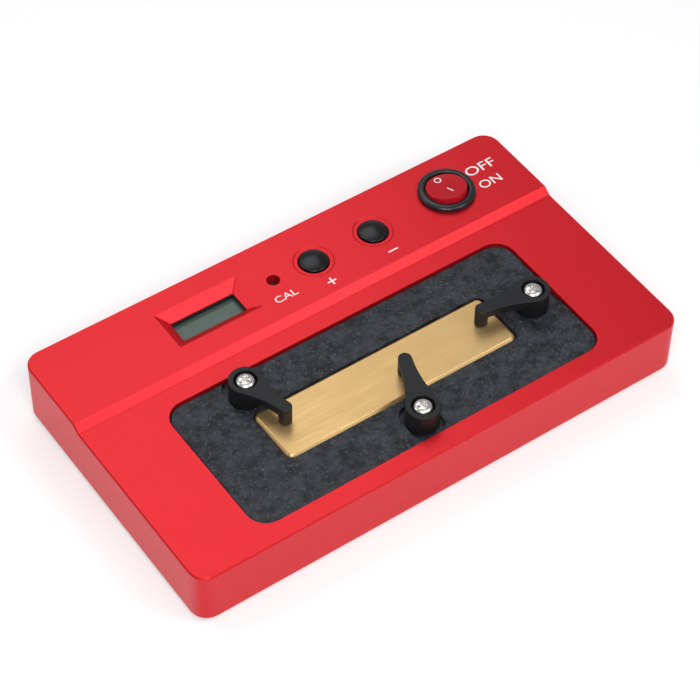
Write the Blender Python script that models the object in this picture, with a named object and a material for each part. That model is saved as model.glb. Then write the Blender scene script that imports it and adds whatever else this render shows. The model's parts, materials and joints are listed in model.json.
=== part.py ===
# Small bench preheater for circuit boards: red housing, heated plate, swing clamps and a control panel.
# Metres, +Z up. The origin is under the middle of the object, on the table. +X points to the power switch.

import math

import bmesh
import bpy
from mathutils import Matrix, Vector

mm = 0.001

# Fits
clearance = 0.3 * mm
overshoot = 1.0 * mm

# Housing
housing_length = 160.0 * mm
housing_depth = 90.4 * mm
housing_corner = 5.1 * mm
housing_wall = 2.5 * mm
housing_edge = 0.4 * mm
deck_height = 17.6 * mm
deck_thickness = 2.1 * mm
panel_rise = 1.8 * mm
panel_depth = 28.1 * mm
panel_slope = 2.5 * mm
crease_fillet = 1.2 * mm

# Feet and base plate
foot_diameter = 10.0 * mm
foot_height = 1.2 * mm
foot_inset = 20.0 * mm
foot_inset_depth = 15.0 * mm
base_thickness = 2.0 * mm
base_screw_inset = 7.5 * mm
base_screw_head = 5.6 * mm
base_screw_shank = 2.9 * mm
base_screw_length = 8.0 * mm
post_diameter = 6.5 * mm

# Window and insulating insert
window_side_border = 22.4 * mm
window_front_border = 5.9 * mm
window_back_border = 5.7 * mm
window_radius = 6.0 * mm
insert_drop = 0.8 * mm
insert_thickness = 7.0 * mm
insert_lip = 2.0 * mm
ear_width = 9.0 * mm
ear_thickness = 2.4 * mm
ear_spacing = 30.0 * mm
insert_screw_shank = 2.4 * mm
insert_screw_head = 4.6 * mm
insert_screw_head_height = 1.6 * mm
insert_screw_length = 6.0 * mm
insert_post_diameter = 6.4 * mm

# Heating plate and what is clamped under it
plate_left_border = 20.1 * mm
plate_right_border = 18.6 * mm
plate_depth = 18.3 * mm
plate_shift = 0.8 * mm
plate_radius = 2.0 * mm
plate_drop = 0.6 * mm
plate_chamfer = 0.8 * mm
plate_gap = 0.4 * mm
plate_flange = 2.0 * mm
plate_flange_thickness = 2.0 * mm
element_inset = 7.4 * mm
element_side_inset = 2.2 * mm
element_thickness = 2.0 * mm
mica_margin = 1.0 * mm
mica_side_margin = 1.5 * mm
mica_thickness = 1.0 * mm
tray_thickness = 1.2 * mm
tray_margin = 0.8 * mm
tray_foot = 7.0 * mm
tray_screw_offset = 6.5 * mm
tray_screw_shank = 2.4 * mm
tray_screw_head = 4.6 * mm
tray_screw_head_height = 1.6 * mm
tray_screw_length = 5.0 * mm
sensor_diameter = 2.6 * mm
sensor_length = 6.0 * mm
sensor_inset = 3.4 * mm
fuse_link_diameter = 3.3 * mm
fuse_link_length = 9.0 * mm

# Swing clamps
boss_diameter = 9.6 * mm
arm_tip_diameter = 3.8 * mm
arm_thickness = 2.8 * mm
arm_top_above_plate = 6.3 * mm
arm_waist = 0.7 * mm
arm_edge = 0.25 * mm
pocket_depth = 1.1 * mm
pocket_end = 6.8 * mm
pocket_radius = 4.2 * mm
head_diameter = 5.8 * mm
head_height = 1.9 * mm
head_rise = 0.3 * mm
shank_diameter = 2.9 * mm
shank_length = 10.0 * mm
seat_diameter = 6.7 * mm
washer_diameter = 5.8 * mm
washer_thickness = 0.5 * mm

# Where the clamps turn and where their tips stand
left_pivot_inset = 2.5 * mm
left_pivot_border = 7.4 * mm
left_tip_inset = 6.2 * mm
left_tip_shift = 2.2 * mm
front_pivot_shift = -1.35 * mm
front_pivot_border = 6.5 * mm
front_tip_shift_x = 4.45 * mm
front_tip_shift = -2.0 * mm
right_pivot_border = 8.0 * mm
right_pivot_shift = -1.6 * mm
right_tip_inset = 5.6 * mm
right_tip_shift = 0.7 * mm

# Display
display_spacing = 21.4 * mm
control_line = 14.2 * mm
display_length = 27.2 * mm
display_depth = 13.8 * mm
display_bevel = 3.2 * mm
display_bevel_depth = 2.4 * mm
glass_margin = 1.5 * mm
glass_thickness = 2.0 * mm

# Keys
key_spacing = 20.6 * mm
key_line = 14.9 * mm
key_diameter = 8.7 * mm
key_dome = 1.1 * mm
key_collar = 10.8 * mm
key_collar_thickness = 1.2 * mm
key_travel = 0.5 * mm
key_dish = 12.2 * mm
key_dish_depth = 0.25 * mm
key_dish_wall = 0.4 * mm
cal_spacing = 13.6 * mm
cal_line = 14.6 * mm
cal_hole = 4.0 * mm
cal_collar = 5.4 * mm
cal_sink = 2.4 * mm
plunger_diameter = 3.3 * mm
tact_size = 6.0 * mm
tact_height = 3.5 * mm
tact_well = 1.4 * mm

# Control board
board_overhang = 14.6 * mm
board_front_gap = 3.1 * mm
board_back_gap = 3.2 * mm
board_thickness = 1.6 * mm
board_post_diameter = 5.5 * mm
board_post_inset = 3.0 * mm
board_screw_shank = 2.4 * mm
board_screw_head = 4.6 * mm
board_screw_head_height = 1.6 * mm
board_screw_length = 6.0 * mm
chip_size = 5.2 * mm
chip_height = 1.6 * mm
capacitor_length = 13.0 * mm
capacitor_width = 6.0 * mm
capacitor_height = 6.0 * mm
capacitor_shift = 6.0 * mm
triac_length = 10.4 * mm
triac_width = 9.0 * mm
triac_height = 4.4 * mm
fuse_diameter = 5.2 * mm
fuse_length = 20.0 * mm

# Power switch
switch_inset = 25.7 * mm
switch_spacing = 26.7 * mm
switch_flange = 17.1 * mm
switch_flange_height = 1.9 * mm
switch_barrel = 14.6 * mm
switch_depth = 11.5 * mm
rocker_radius = 6.2 * mm
rocker_face_radius = 6.0 * mm
rocker_pivot_height = 0.8 * mm
rocker_bottom = 3.0 * mm
rocker_dish = 0.35 * mm
rocker_tilt = math.radians(10.0)
rocker_pin_diameter = 1.1 * mm
rocker_pin_reach = 0.55 * mm
terminal_width = 4.8 * mm
terminal_thickness = 0.8 * mm
terminal_length = 4.6 * mm
terminal_root = 1.6 * mm
terminal_spacing = 7.0 * mm

# Mains inlet in the right wall
inlet_line = 23.7 * mm
inlet_height = 8.7 * mm
inlet_flange_width = 22.5 * mm
inlet_flange_height = 11.5 * mm
inlet_flange_thickness = 1.2 * mm
inlet_body_width = 19.5 * mm
inlet_body_height = 9.5 * mm
inlet_body_depth = 12.0 * mm
inlet_socket_width = 15.8 * mm
inlet_socket_height = 7.4 * mm
inlet_socket_depth = 9.0 * mm
inlet_pin_diameter = 2.4 * mm
inlet_pin_spacing = 8.6 * mm
inlet_pin_length = 13.5 * mm

# Places that follow from the sizes above
right_x = housing_length / 2
back_y = housing_depth / 2
switch_x = right_x - switch_inset
minus_x = switch_x - switch_spacing
plus_x = minus_x - key_spacing
cal_x = plus_x - cal_spacing
display_x = cal_x - display_spacing
display_y = back_y - control_line
switch_y = back_y - control_line
key_y = back_y - key_line
cal_y = back_y - cal_line
inlet_y = back_y - inlet_line
panel_front = back_y - panel_depth
slope_foot = panel_front - panel_slope
window_right = right_x - window_side_border
window_back = slope_foot - window_back_border
window_front = window_front_border - back_y
window_length = 2 * window_right
window_depth = window_back - window_front
window_y = (window_back + window_front) / 2
plate_left = plate_left_border - window_right
plate_right = window_right - plate_right_border
plate_length = plate_right - plate_left
plate_x = (plate_left + plate_right) / 2
plate_y = window_y + plate_shift
element_length = plate_length - 2 * element_inset
element_depth = plate_depth - 2 * element_side_inset
mica_length = element_length + 2 * mica_margin
mica_depth = element_depth + 2 * mica_side_margin
tray_width = plate_depth + 2 * tray_margin
left_pivot = Vector((plate_left + left_pivot_inset, window_back - left_pivot_border))
left_tip = Vector((plate_left + left_tip_inset, plate_y + left_tip_shift))
front_pivot = Vector((plate_x + front_pivot_shift, window_front + front_pivot_border))
front_tip = Vector((plate_x + front_tip_shift_x, plate_y + front_tip_shift))
right_pivot = Vector((window_right - right_pivot_border, plate_y + right_pivot_shift))
right_tip = Vector((plate_right - right_tip_inset, plate_y + right_tip_shift))
glass_length = display_length - 2 * display_bevel + 2 * glass_margin
glass_depth = display_depth - 2 * display_bevel + 2 * glass_margin
board_left = display_x - glass_length / 2 - board_post_inset - board_post_diameter / 2 - 2 * clearance
board_right = minus_x + board_overhang
board_front = window_back + board_front_gap
board_back = back_y - board_back_gap

# Levels that follow from the sizes above
sill = foot_height + clearance
deck_top = sill + deck_height
panel_top = deck_top + panel_rise
ceiling = deck_top - deck_thickness
base_top = sill + base_thickness
inner_length = housing_length - 2 * housing_wall
inner_depth = housing_depth - 2 * housing_wall
inner_corner = max(housing_corner - housing_wall, 1.0 * mm)
insert_top = deck_top - insert_drop
insert_bottom = insert_top - insert_thickness
lip_top = ceiling - clearance
pocket_floor = insert_top - pocket_depth
plate_top = deck_top - plate_drop
plate_bottom = insert_bottom
element_bottom = plate_bottom - clearance - element_thickness
mica_bottom = element_bottom - clearance - mica_thickness
tray_floor_top = mica_bottom - clearance
tray_foot_top = insert_bottom - clearance
arm_top = plate_top + arm_top_above_plate
head_top = arm_top + head_rise
head_bottom = head_top - head_height
washer_top = head_bottom - clearance
washer_bottom = washer_top - washer_thickness
seat_floor = washer_bottom - clearance
collar_top = ceiling - clearance - 0.4 * mm
collar_bottom = collar_top - key_collar_thickness
plunger_top = collar_bottom - clearance
tact_top = plunger_top - 1.5 * mm
board_top = tact_top - tact_height - clearance
board_bottom = board_top - board_thickness
part_seat = board_top + clearance
switch_bottom = panel_top - switch_depth
inlet_z = sill + inlet_height


def material(name, colour, roughness, metallic=0.0, transmission=0.0):
    result = bpy.data.materials.new(name)
    result.use_nodes = True
    shader = result.node_tree.nodes["Principled BSDF"]
    shader.inputs["Base Color"].default_value = (*colour, 1.0)
    shader.inputs["Roughness"].default_value = roughness
    shader.inputs["Metallic"].default_value = metallic
    shader.inputs["Transmission Weight"].default_value = transmission
    result.diffuse_color = (*colour, 1.0)
    return result


def add_object(name, mesh_builder, finish, location=(0.0, 0.0, 0.0), rotation=(0.0, 0.0, 0.0)):
    bmesh.ops.recalc_face_normals(mesh_builder, faces=mesh_builder.faces)
    mesh = bpy.data.meshes.new(name)
    mesh_builder.to_mesh(mesh)
    mesh_builder.free()
    result = bpy.data.objects.new(name, mesh)
    result.location = location
    result.rotation_euler = rotation
    bpy.context.scene.collection.objects.link(result)
    if finish is not None:
        mesh.materials.append(finish)
    mesh.shade_smooth()
    mesh.set_sharp_from_angle(angle=math.radians(35.0))
    return result


def add_tool(name, mesh_builder, location=(0.0, 0.0, 0.0), rotation=(0.0, 0.0, 0.0)):
    result = add_object(name, mesh_builder, None, location, rotation)
    result.hide_render = True
    result.display_type = "WIRE"
    return result


def combine(target, tool, operation):
    modifier = target.modifiers.new(tool.name, "BOOLEAN")
    modifier.operation = operation
    modifier.object = tool
    modifier.solver = "EXACT"


def chamfer_edges(target, width, segments=1, angle=50.0):
    modifier = target.modifiers.new("edges", "BEVEL")
    modifier.width = width
    modifier.segments = segments
    modifier.limit_method = "ANGLE"
    modifier.angle_limit = math.radians(angle)


# Outlines, all anticlockwise seen from above


def circle(radius, count, centre=(0.0, 0.0), phase=0.0):
    points = []
    for step in range(count):
        turn = phase + 2 * math.pi * step / count
        points.append((centre[0] + radius * math.cos(turn), centre[1] + radius * math.sin(turn)))
    return points


def arc(centre, radius, start, end, count):
    points = []
    for step in range(count + 1):
        turn = start + (end - start) * step / count
        points.append((centre[0] + radius * math.cos(turn), centre[1] + radius * math.sin(turn)))
    return points


def rounded_rectangle(length, depth, radius, steps=6, centre=(0.0, 0.0)):
    points = []
    for side, (sign_x, sign_y) in enumerate(((1, 1), (-1, 1), (-1, -1), (1, -1))):
        corner = (centre[0] + sign_x * (length / 2 - radius), centre[1] + sign_y * (depth / 2 - radius))
        points += arc(corner, radius, side * math.pi / 2, (side + 1) * math.pi / 2, steps)
    return points


def bezier(start, start_handle, end_handle, end, count):
    points = []
    for step in range(1, count):
        t = step / count
        weights = ((1 - t) ** 3, 3 * t * (1 - t) ** 2, 3 * t * t * (1 - t), t ** 3)
        knots = (start, start_handle, end_handle, end)
        x = sum(weight * knot[0] for weight, knot in zip(weights, knots))
        y = sum(weight * knot[1] for weight, knot in zip(weights, knots))
        points.append((x, y))
    return points


# Solids from outlines


def loft(sections, builder=None):
    builder = builder or bmesh.new()
    rings = []
    for outline, height in sections:
        rings.append([builder.verts.new((x, y, height)) for x, y in outline])
    count = len(rings[0])
    for lower, upper in zip(rings, rings[1:]):
        for step in range(count):
            after = (step + 1) % count
            builder.faces.new((lower[step], lower[after], upper[after], upper[step]))
    builder.faces.new(reversed(rings[0]))
    builder.faces.new(rings[-1])
    return builder


def prism(outline, bottom, top, builder=None):
    return loft([(outline, bottom), (outline, top)], builder)


def slab(length, depth, radius, bottom, top, chamfer=0.0, centre=(0.0, 0.0), steps=4, builder=None):
    full = rounded_rectangle(length, depth, radius, steps, centre)
    if chamfer == 0.0:
        return prism(full, bottom, top, builder)
    small = rounded_rectangle(length - 2 * chamfer, depth - 2 * chamfer, radius - chamfer, steps, centre)
    return loft([(full, bottom), (full, top - chamfer), (small, top)], builder)


def turned(profile, count, centre=(0.0, 0.0), builder=None):
    builder = builder or bmesh.new()
    rings = []
    for radius, height in profile:
        if radius == 0.0:
            rings.append([builder.verts.new((centre[0], centre[1], height))])
        else:
            rings.append([builder.verts.new((x, y, height)) for x, y in circle(radius, count, centre)])
    closed = profile[0][0] != 0.0
    pairs = list(zip(rings, rings[1:]))
    if closed:
        pairs.append((rings[-1], rings[0]))
    for lower, upper in pairs:
        for step in range(count):
            after = (step + 1) % count
            if len(lower) == 1:
                builder.faces.new((lower[0], upper[after], upper[step]))
            elif len(upper) == 1:
                builder.faces.new((lower[step], lower[after], upper[0]))
            else:
                builder.faces.new((lower[step], lower[after], upper[after], upper[step]))
    return builder


def pins(spots, diameter, bottom, top, count=12):
    builder = bmesh.new()
    for x, y in spots:
        prism(circle(diameter / 2, count, (x, y)), bottom, top, builder)
    return builder


def extruded_along_x(outline, start, end):
    builder = loft([(outline, start), (outline, end)])
    turn = Matrix(((0, 0, 1), (1, 0, 0), (0, 1, 0))).to_4x4()
    bmesh.ops.transform(builder, matrix=turn, verts=builder.verts)
    return builder


def extruded_along_y(outline, start, end):
    builder = loft([(outline, start), (outline, end)])
    turn = Matrix(((1, 0, 0), (0, 0, 1), (0, 1, 0))).to_4x4()
    bmesh.ops.transform(builder, matrix=turn, verts=builder.verts)
    return builder


def four_corners(half_x, half_y, centre=(0.0, 0.0)):
    signs = ((1, 1), (-1, 1), (-1, -1), (1, -1))
    return [(centre[0] + half_x * sign_x, centre[1] + half_y * sign_y) for sign_x, sign_y in signs]


def pan_screw(head, head_height, shank, length, count=12, rounds=2):
    profile = [(0.0, -length), (shank / 2 - 0.3 * mm, -length)]
    profile += [(shank / 2, -length + 0.4 * mm), (shank / 2, 0.0)]
    crown = head_height * 0.45
    profile.append((head / 2, 0.0))
    profile.append((head / 2, head_height - crown))
    for step in range(1, rounds + 1):
        turn = step * math.pi / (2 * rounds + 2)
        profile.append((head / 2 * math.cos(turn) ** 0.6, head_height - crown + crown * math.sin(turn)))
    profile.append((0.0, head_height))
    return turned(profile, count)


for old in list(bpy.data.objects):
    bpy.data.objects.remove(old, do_unlink=True)

red_anodised = material("red anodised aluminium", (0.70, 0.02, 0.035), 0.38, 0.6)
black_steel = material("black painted steel", (0.03, 0.03, 0.03), 0.5, 0.2)
bare_steel = material("zinc plated steel", (0.62, 0.62, 0.60), 0.32, 1.0)
chrome_steel = material("bright plated steel", (0.80, 0.80, 0.80), 0.15, 1.0)
rubber = material("black rubber", (0.02, 0.02, 0.02), 0.85)
composite = material("black fibre composite", (0.035, 0.038, 0.042), 0.62)
gold_plate = material("gold anodised aluminium", (0.80, 0.58, 0.28), 0.30, 0.8)
ceramic = material("white alumina ceramic", (0.85, 0.84, 0.80), 0.5)
mica = material("mica sheet", (0.55, 0.48, 0.36), 0.45)
clamp_plastic = material("black glass filled nylon", (0.03, 0.03, 0.032), 0.5)
gloss_black = material("gloss black button plastic", (0.012, 0.012, 0.014), 0.12)
matte_black = material("matte black plastic", (0.03, 0.033, 0.036), 0.45)
rocker_red = material("red translucent rocker plastic", (0.55, 0.01, 0.02), 0.22, 0.0, 0.15)
board_green = material("green circuit board", (0.02, 0.16, 0.06), 0.45)
glass_grey = material("grey green display glass", (0.16, 0.20, 0.17), 0.15)
white_plastic = material("white diffuser plastic", (0.80, 0.80, 0.78), 0.4)
chip_black = material("black moulded chip", (0.02, 0.02, 0.02), 0.55)
capacitor_box = material("yellow capacitor box", (0.72, 0.52, 0.05), 0.4)
fuse_glass = material("fuse glass", (0.75, 0.80, 0.80), 0.1)
brass = material("plated brass", (0.70, 0.60, 0.38), 0.3, 1.0)

# Housing: a rounded block, lowered in front of the sloped step
outer_outline = rounded_rectangle(housing_length, housing_depth, housing_corner, 6)
housing = add_object("housing", prism(outer_outline, sill, panel_top), red_anodised)
slope_angle = math.atan2(panel_rise, panel_slope)
tangent = crease_fillet * math.tan(slope_angle / 2)
crease_centre = (slope_foot - tangent, deck_top + crease_fillet)
reach = housing_depth
step_outline = [(-reach, deck_top)]
step_outline += arc(crease_centre, crease_fillet, -math.pi / 2, -math.pi / 2 + slope_angle, 3)
step_outline.append((panel_front, panel_top))
step_outline.append((panel_front + overshoot * panel_slope / panel_rise, panel_top + overshoot))
step_outline.append((-reach, panel_top + overshoot))
step_cut = add_tool("deck step", extruded_along_x(step_outline, -housing_length, housing_length))
combine(housing, step_cut, "DIFFERENCE")
chamfer_edges(housing, housing_edge)
cavity_outline = rounded_rectangle(inner_length, inner_depth, inner_corner, 4)
cavity = add_tool("cavity", prism(cavity_outline, sill - overshoot, ceiling))
combine(housing, cavity, "DIFFERENCE")

# Posts under the deck for the base plate, the insert and the control board
base_spots = four_corners(housing_length / 2 - base_screw_inset, housing_depth / 2 - base_screw_inset)
ear_x = window_length / 2 + insert_lip + clearance + insert_post_diameter / 2 + 0.1 * mm
ear_spots = four_corners(ear_x, ear_spacing / 2, (0.0, window_y))
board_centre = ((board_left + board_right) / 2, (board_front + board_back) / 2)
board_half_x = (board_right - board_left) / 2 - board_post_inset
board_half_y = (board_back - board_front) / 2 - board_post_inset
board_spots = four_corners(board_half_x, board_half_y, board_centre)
posts = pins(base_spots, post_diameter, base_top + clearance, ceiling + overshoot, 16)
ear_top = insert_bottom + ear_thickness
for spot in ear_spots:
    prism(circle(insert_post_diameter / 2, 14, spot), ear_top + clearance, ceiling + overshoot, posts)
for spot in board_spots:
    prism(circle(board_post_diameter / 2, 14, spot), board_top + clearance, ceiling + overshoot, posts)
combine(housing, add_tool("posts", posts), "UNION")
base_bore = base_screw_shank + 2 * clearance
bores = pins(base_spots, base_bore, base_top - overshoot, sill + base_screw_length + 2 * clearance)
ear_bore = insert_screw_shank + 2 * clearance
ear_screw_seat = insert_bottom - clearance
ear_bore_top = ear_screw_seat + insert_screw_length + clearance
for spot in ear_spots:
    prism(circle(ear_bore / 2, 12, spot), ear_top - overshoot, ear_bore_top, bores)
board_bore = board_screw_shank + 2 * clearance
board_screw_seat = board_bottom - clearance
board_bore_top = board_screw_seat + board_screw_length + clearance
for spot in board_spots:
    prism(circle(board_bore / 2, 12, spot), board_top - overshoot, board_bore_top, bores)
combine(housing, add_tool("post bores", bores), "DIFFERENCE")

# Openings in the deck and the panel
window_outline = rounded_rectangle(window_length, window_depth, window_radius, 6, (0.0, window_y))
window_cut = prism(window_outline, ceiling - overshoot, deck_top + overshoot)
combine(housing, add_tool("window", window_cut), "DIFFERENCE")
display_centre = (display_x, display_y)
display_inner_length = display_length - 2 * display_bevel
display_inner_depth = display_depth - 2 * display_bevel
flare = overshoot * display_bevel / display_bevel_depth
corner = 0.4 * mm
mouth = rounded_rectangle(display_length + 2 * flare, display_depth + 2 * flare, corner, 2, display_centre)
throat = rounded_rectangle(display_inner_length, display_inner_depth, corner, 2, display_centre)
display_sections = [(throat, ceiling - overshoot), (throat, panel_top - display_bevel_depth)]
display_sections.append((mouth, panel_top + overshoot))
combine(housing, add_tool("display recess", loft(display_sections)), "DIFFERENCE")
key_hole = key_diameter + 2 * clearance
holes = pins([(plus_x, key_y), (minus_x, key_y)], key_hole, ceiling - overshoot, panel_top + overshoot, 28)
prism(circle(cal_hole / 2, 20, (cal_x, cal_y)), ceiling - overshoot, panel_top + overshoot, holes)
switch_hole = switch_barrel + 2 * clearance
prism(circle(switch_hole / 2, 32, (switch_x, switch_y)), ceiling - overshoot, panel_top + overshoot, holes)
combine(housing, add_tool("panel holes", holes), "DIFFERENCE")
dish_radius = key_dish / 2
dish_flare = dish_radius + key_dish_wall * overshoot / key_dish_depth
dish_profile = [(0.0, panel_top - key_dish_depth), (dish_radius - key_dish_wall, panel_top - key_dish_depth)]
dish_profile += [(dish_flare, panel_top + overshoot), (0.0, panel_top + overshoot)]
dishes = turned(dish_profile, 28, (plus_x, key_y))
turned(dish_profile, 28, (minus_x, key_y), dishes)
combine(housing, add_tool("key dishes", dishes), "DIFFERENCE")
inlet_centre = (inlet_y, inlet_z)
inlet_mouth_width = inlet_flange_width + 2 * clearance
inlet_mouth_height = inlet_flange_height + 2 * clearance
inlet_mouth = rounded_rectangle(inlet_mouth_width, inlet_mouth_height, 1.3 * mm, 3, inlet_centre)
inlet_seat_x = right_x - inlet_flange_thickness - clearance
inlet_recess = extruded_along_x(inlet_mouth, inlet_seat_x, right_x + overshoot)
combine(housing, add_tool("inlet recess", inlet_recess), "DIFFERENCE")
inlet_through_width = inlet_body_width + 2 * clearance
inlet_through_height = inlet_body_height + 2 * clearance
inlet_through = rounded_rectangle(inlet_through_width, inlet_through_height, 1.0 * mm, 3, inlet_centre)
inlet_slot = extruded_along_x(inlet_through, right_x - housing_wall - overshoot, right_x + overshoot)
combine(housing, add_tool("inlet slot", inlet_slot), "DIFFERENCE")

# Base plate, its countersunk screws and the feet
base_length = inner_length - 2 * clearance
base_depth = inner_depth - 2 * clearance
base = add_object("base_plate", slab(base_length, base_depth, inner_corner, sill, base_top), black_steel)
sink = base_screw_head / 2 + clearance
throat_radius = base_screw_shank / 2 + clearance
sink_depth = sink - throat_radius
countersinks = bmesh.new()
for spot in base_spots:
    profile = [(0.0, sill - overshoot), (sink, sill - overshoot), (sink, sill + 0.2 * mm)]
    profile += [(throat_radius, sill + 0.2 * mm + sink_depth), (throat_radius, base_top + overshoot)]
    profile.append((0.0, base_top + overshoot))
    turned(profile, 14, spot, countersinks)
combine(base, add_tool("countersinks", countersinks), "DIFFERENCE")
head_radius = base_screw_head / 2
shank_radius = base_screw_shank / 2
screw_profile = [(0.0, 0.0), (head_radius, 0.0), (head_radius, 0.1 * mm)]
screw_profile += [(shank_radius, 0.1 * mm + head_radius - shank_radius)]
screw_profile += [(shank_radius, base_screw_length - 0.4 * mm)]
screw_profile += [(shank_radius - 0.4 * mm, base_screw_length), (0.0, base_screw_length)]
base_screw_bottom = sill + 0.1 * mm
for index, spot in enumerate(base_spots, 1):
    add_object(f"base_screw_{index}", turned(screw_profile, 14), bare_steel, (*spot, base_screw_bottom))
foot_radius = foot_diameter / 2
foot_profile = [(0.0, 0.0), (foot_radius - 0.6 * mm, 0.0), (foot_radius - 0.2 * mm, 0.2 * mm)]
foot_profile += [(foot_radius, 0.6 * mm), (foot_radius, foot_height), (0.0, foot_height)]
foot_spots = four_corners(housing_length / 2 - foot_inset, housing_depth / 2 - foot_inset_depth)
for index, spot in enumerate(foot_spots, 1):
    add_object(f"foot_{index}", turned(foot_profile, 20), rubber, (*spot, 0.0))

# Insulating insert: a stepped slab with ears, clamp pockets and the plate opening
insert_length = window_length - 2 * clearance
insert_depth = window_depth - 2 * clearance
insert_radius = window_radius - clearance
insert_middle = (0.0, window_y)
upper = slab(insert_length, insert_depth, insert_radius, insert_bottom, insert_top, 0.3 * mm, insert_middle, 6)
insert = add_object("insulating_insert", upper, composite)
lip_length = window_length + 2 * insert_lip
lip_depth = window_depth + 2 * insert_lip
lip_radius = window_radius + insert_lip
lip_bottom = insert_bottom + 0.5 * mm
lip = slab(lip_length, lip_depth, lip_radius, lip_bottom, lip_top, 0.0, insert_middle, 6)
combine(insert, add_tool("insert lip", lip), "UNION")
ear_bars = bmesh.new()
ear_tip = ear_x + ear_width / 2
for offset in (-ear_spacing / 2, ear_spacing / 2):
    bar_end = ear_width / 2 - 0.1 * mm
    bar_outline = rounded_rectangle(2 * ear_tip, ear_width, bar_end, 6, (0.0, window_y + offset))
    prism(bar_outline, insert_bottom + 0.2 * mm, ear_top, ear_bars)
combine(insert, add_tool("insert ears", ear_bars), "UNION")

pivots = (("left", left_pivot), ("front", front_pivot), ("right", right_pivot))
pocket_half = boss_diameter / 2 + clearance
pocket_cuts = bmesh.new()
pocket_spans = (
    (left_pivot.x - pocket_half, left_pivot.x + pocket_half, left_pivot.y - pocket_end, window_back),
    (front_pivot.x - pocket_half, front_pivot.x + pocket_half, window_front, front_pivot.y + pocket_end),
    (right_pivot.x - pocket_end, window_right, right_pivot.y - pocket_half, right_pivot.y + pocket_half),
)
for west, east, south, north in pocket_spans:
    centre = ((west + east) / 2, (south + north) / 2)
    pocket = rounded_rectangle(east - west, north - south, pocket_radius, 4, centre)
    prism(pocket, pocket_floor, insert_top + overshoot, pocket_cuts)
combine(insert, add_tool("clamp pockets", pocket_cuts), "DIFFERENCE")

plate_centre = (plate_x, plate_y)
opening_length = plate_length + 2 * plate_gap
opening_depth = plate_depth + 2 * plate_gap
opening_radius = plate_radius + plate_gap
seat_length = plate_length + 2 * plate_flange + 2 * clearance
seat_depth = plate_depth + 2 * plate_flange + 2 * clearance
seat_top = plate_bottom + plate_flange_thickness + clearance
wide = rounded_rectangle(seat_length, seat_depth, opening_radius, 5, plate_centre)
narrow = rounded_rectangle(opening_length, opening_depth, opening_radius, 5, plate_centre)
opening_sections = [(wide, insert_bottom - overshoot), (wide, seat_top)]
opening_sections += [(narrow, seat_top), (narrow, insert_top + overshoot)]
combine(insert, add_tool("plate opening", loft(opening_sections)), "DIFFERENCE")
clamp_bore = shank_diameter + 2 * clearance
clamp_bore_bottom = head_bottom - shank_length - clearance
insert_holes = pins([pivot for _, pivot in pivots], clamp_bore, clamp_bore_bottom, insert_top + overshoot)
for spot in ear_spots:
    prism(circle(ear_bore / 2, 12, spot), insert_bottom - overshoot, ear_top + overshoot, insert_holes)
tray_screw_x = plate_length / 2 + plate_flange + clearance + tray_foot / 2 + 0.6 * mm
tray_spots = [(plate_x - tray_screw_x, plate_y - tray_screw_offset)]
tray_spots.append((plate_x + tray_screw_x, plate_y + tray_screw_offset))
tray_screw_seat = tray_foot_top - tray_thickness - clearance
tray_bore = tray_screw_shank + 2 * clearance
for spot in tray_spots:
    tray_bore_top = tray_screw_seat + tray_screw_length + clearance
    prism(circle(tray_bore / 2, 12, spot), insert_bottom - overshoot, tray_bore_top, insert_holes)
combine(insert, add_tool("insert holes", insert_holes), "DIFFERENCE")
insert_screw = (insert_screw_head, insert_screw_head_height, insert_screw_shank, insert_screw_length)
upside_down = (math.pi, 0.0, 0.0)
for index, spot in enumerate(ear_spots, 1):
    screw_mesh = pan_screw(*insert_screw)
    add_object(f"insert_screw_{index}", screw_mesh, bare_steel, (*spot, ear_screw_seat), upside_down)

# Heating plate with a stepped edge, and the parts clamped under it by a pressed tray
flange_length = plate_length + 2 * plate_flange
flange_depth = plate_depth + 2 * plate_flange
flange_top = plate_bottom + plate_flange_thickness
foot_outline = rounded_rectangle(flange_length, flange_depth, plate_radius, 5, plate_centre)
plate_outline = rounded_rectangle(plate_length, plate_depth, plate_radius, 5, plate_centre)
rim_length = plate_length - 2 * plate_chamfer
rim_depth = plate_depth - 2 * plate_chamfer
rim_outline = rounded_rectangle(rim_length, rim_depth, plate_radius - plate_chamfer, 5, plate_centre)
plate_sections = [(foot_outline, plate_bottom), (foot_outline, flange_top), (plate_outline, flange_top)]
plate_sections += [(plate_outline, plate_top - plate_chamfer), (rim_outline, plate_top)]
plate = add_object("heating_plate", loft(plate_sections), gold_plate)
sensor_x = plate_x + plate_length / 2 - sensor_inset
sensor_top = element_bottom + sensor_length
sensor_bore = sensor_diameter + 2 * clearance
sensor_hole = pins([(sensor_x, plate_y)], sensor_bore, plate_bottom - overshoot, sensor_top + clearance)
combine(plate, add_tool("sensor hole", sensor_hole), "DIFFERENCE")
element_top = element_bottom + element_thickness
element_mesh = slab(element_length, element_depth, 0.6 * mm, element_bottom, element_top, 0.0, plate_centre)
add_object("heater_element", element_mesh, ceramic)
mica_top = mica_bottom + mica_thickness
mica_mesh = slab(mica_length, mica_depth, 0.8 * mm, mica_bottom, mica_top, 0.0, plate_centre)
add_object("mica_sheet", mica_mesh, mica)
sensor_profile = [(0.0, element_bottom), (sensor_diameter / 2, element_bottom)]
sensor_profile += [(sensor_diameter / 2, sensor_top - 0.6 * mm), (sensor_diameter / 2 - 0.6 * mm, sensor_top)]
sensor_profile.append((0.0, sensor_top))
add_object("temperature_sensor", turned(sensor_profile, 16, (sensor_x, plate_y)), bare_steel)
fuse_link_x = plate_x - plate_length / 2 + sensor_inset
fuse_link_radius = fuse_link_diameter / 2
fuse_link_z = plate_bottom - clearance - fuse_link_radius
fuse_link_outline = circle(fuse_link_radius, 16, (fuse_link_x, fuse_link_z))
fuse_link_half = fuse_link_length / 2
fuse_link_mesh = extruded_along_y(fuse_link_outline, plate_y - fuse_link_half, plate_y + fuse_link_half)
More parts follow.
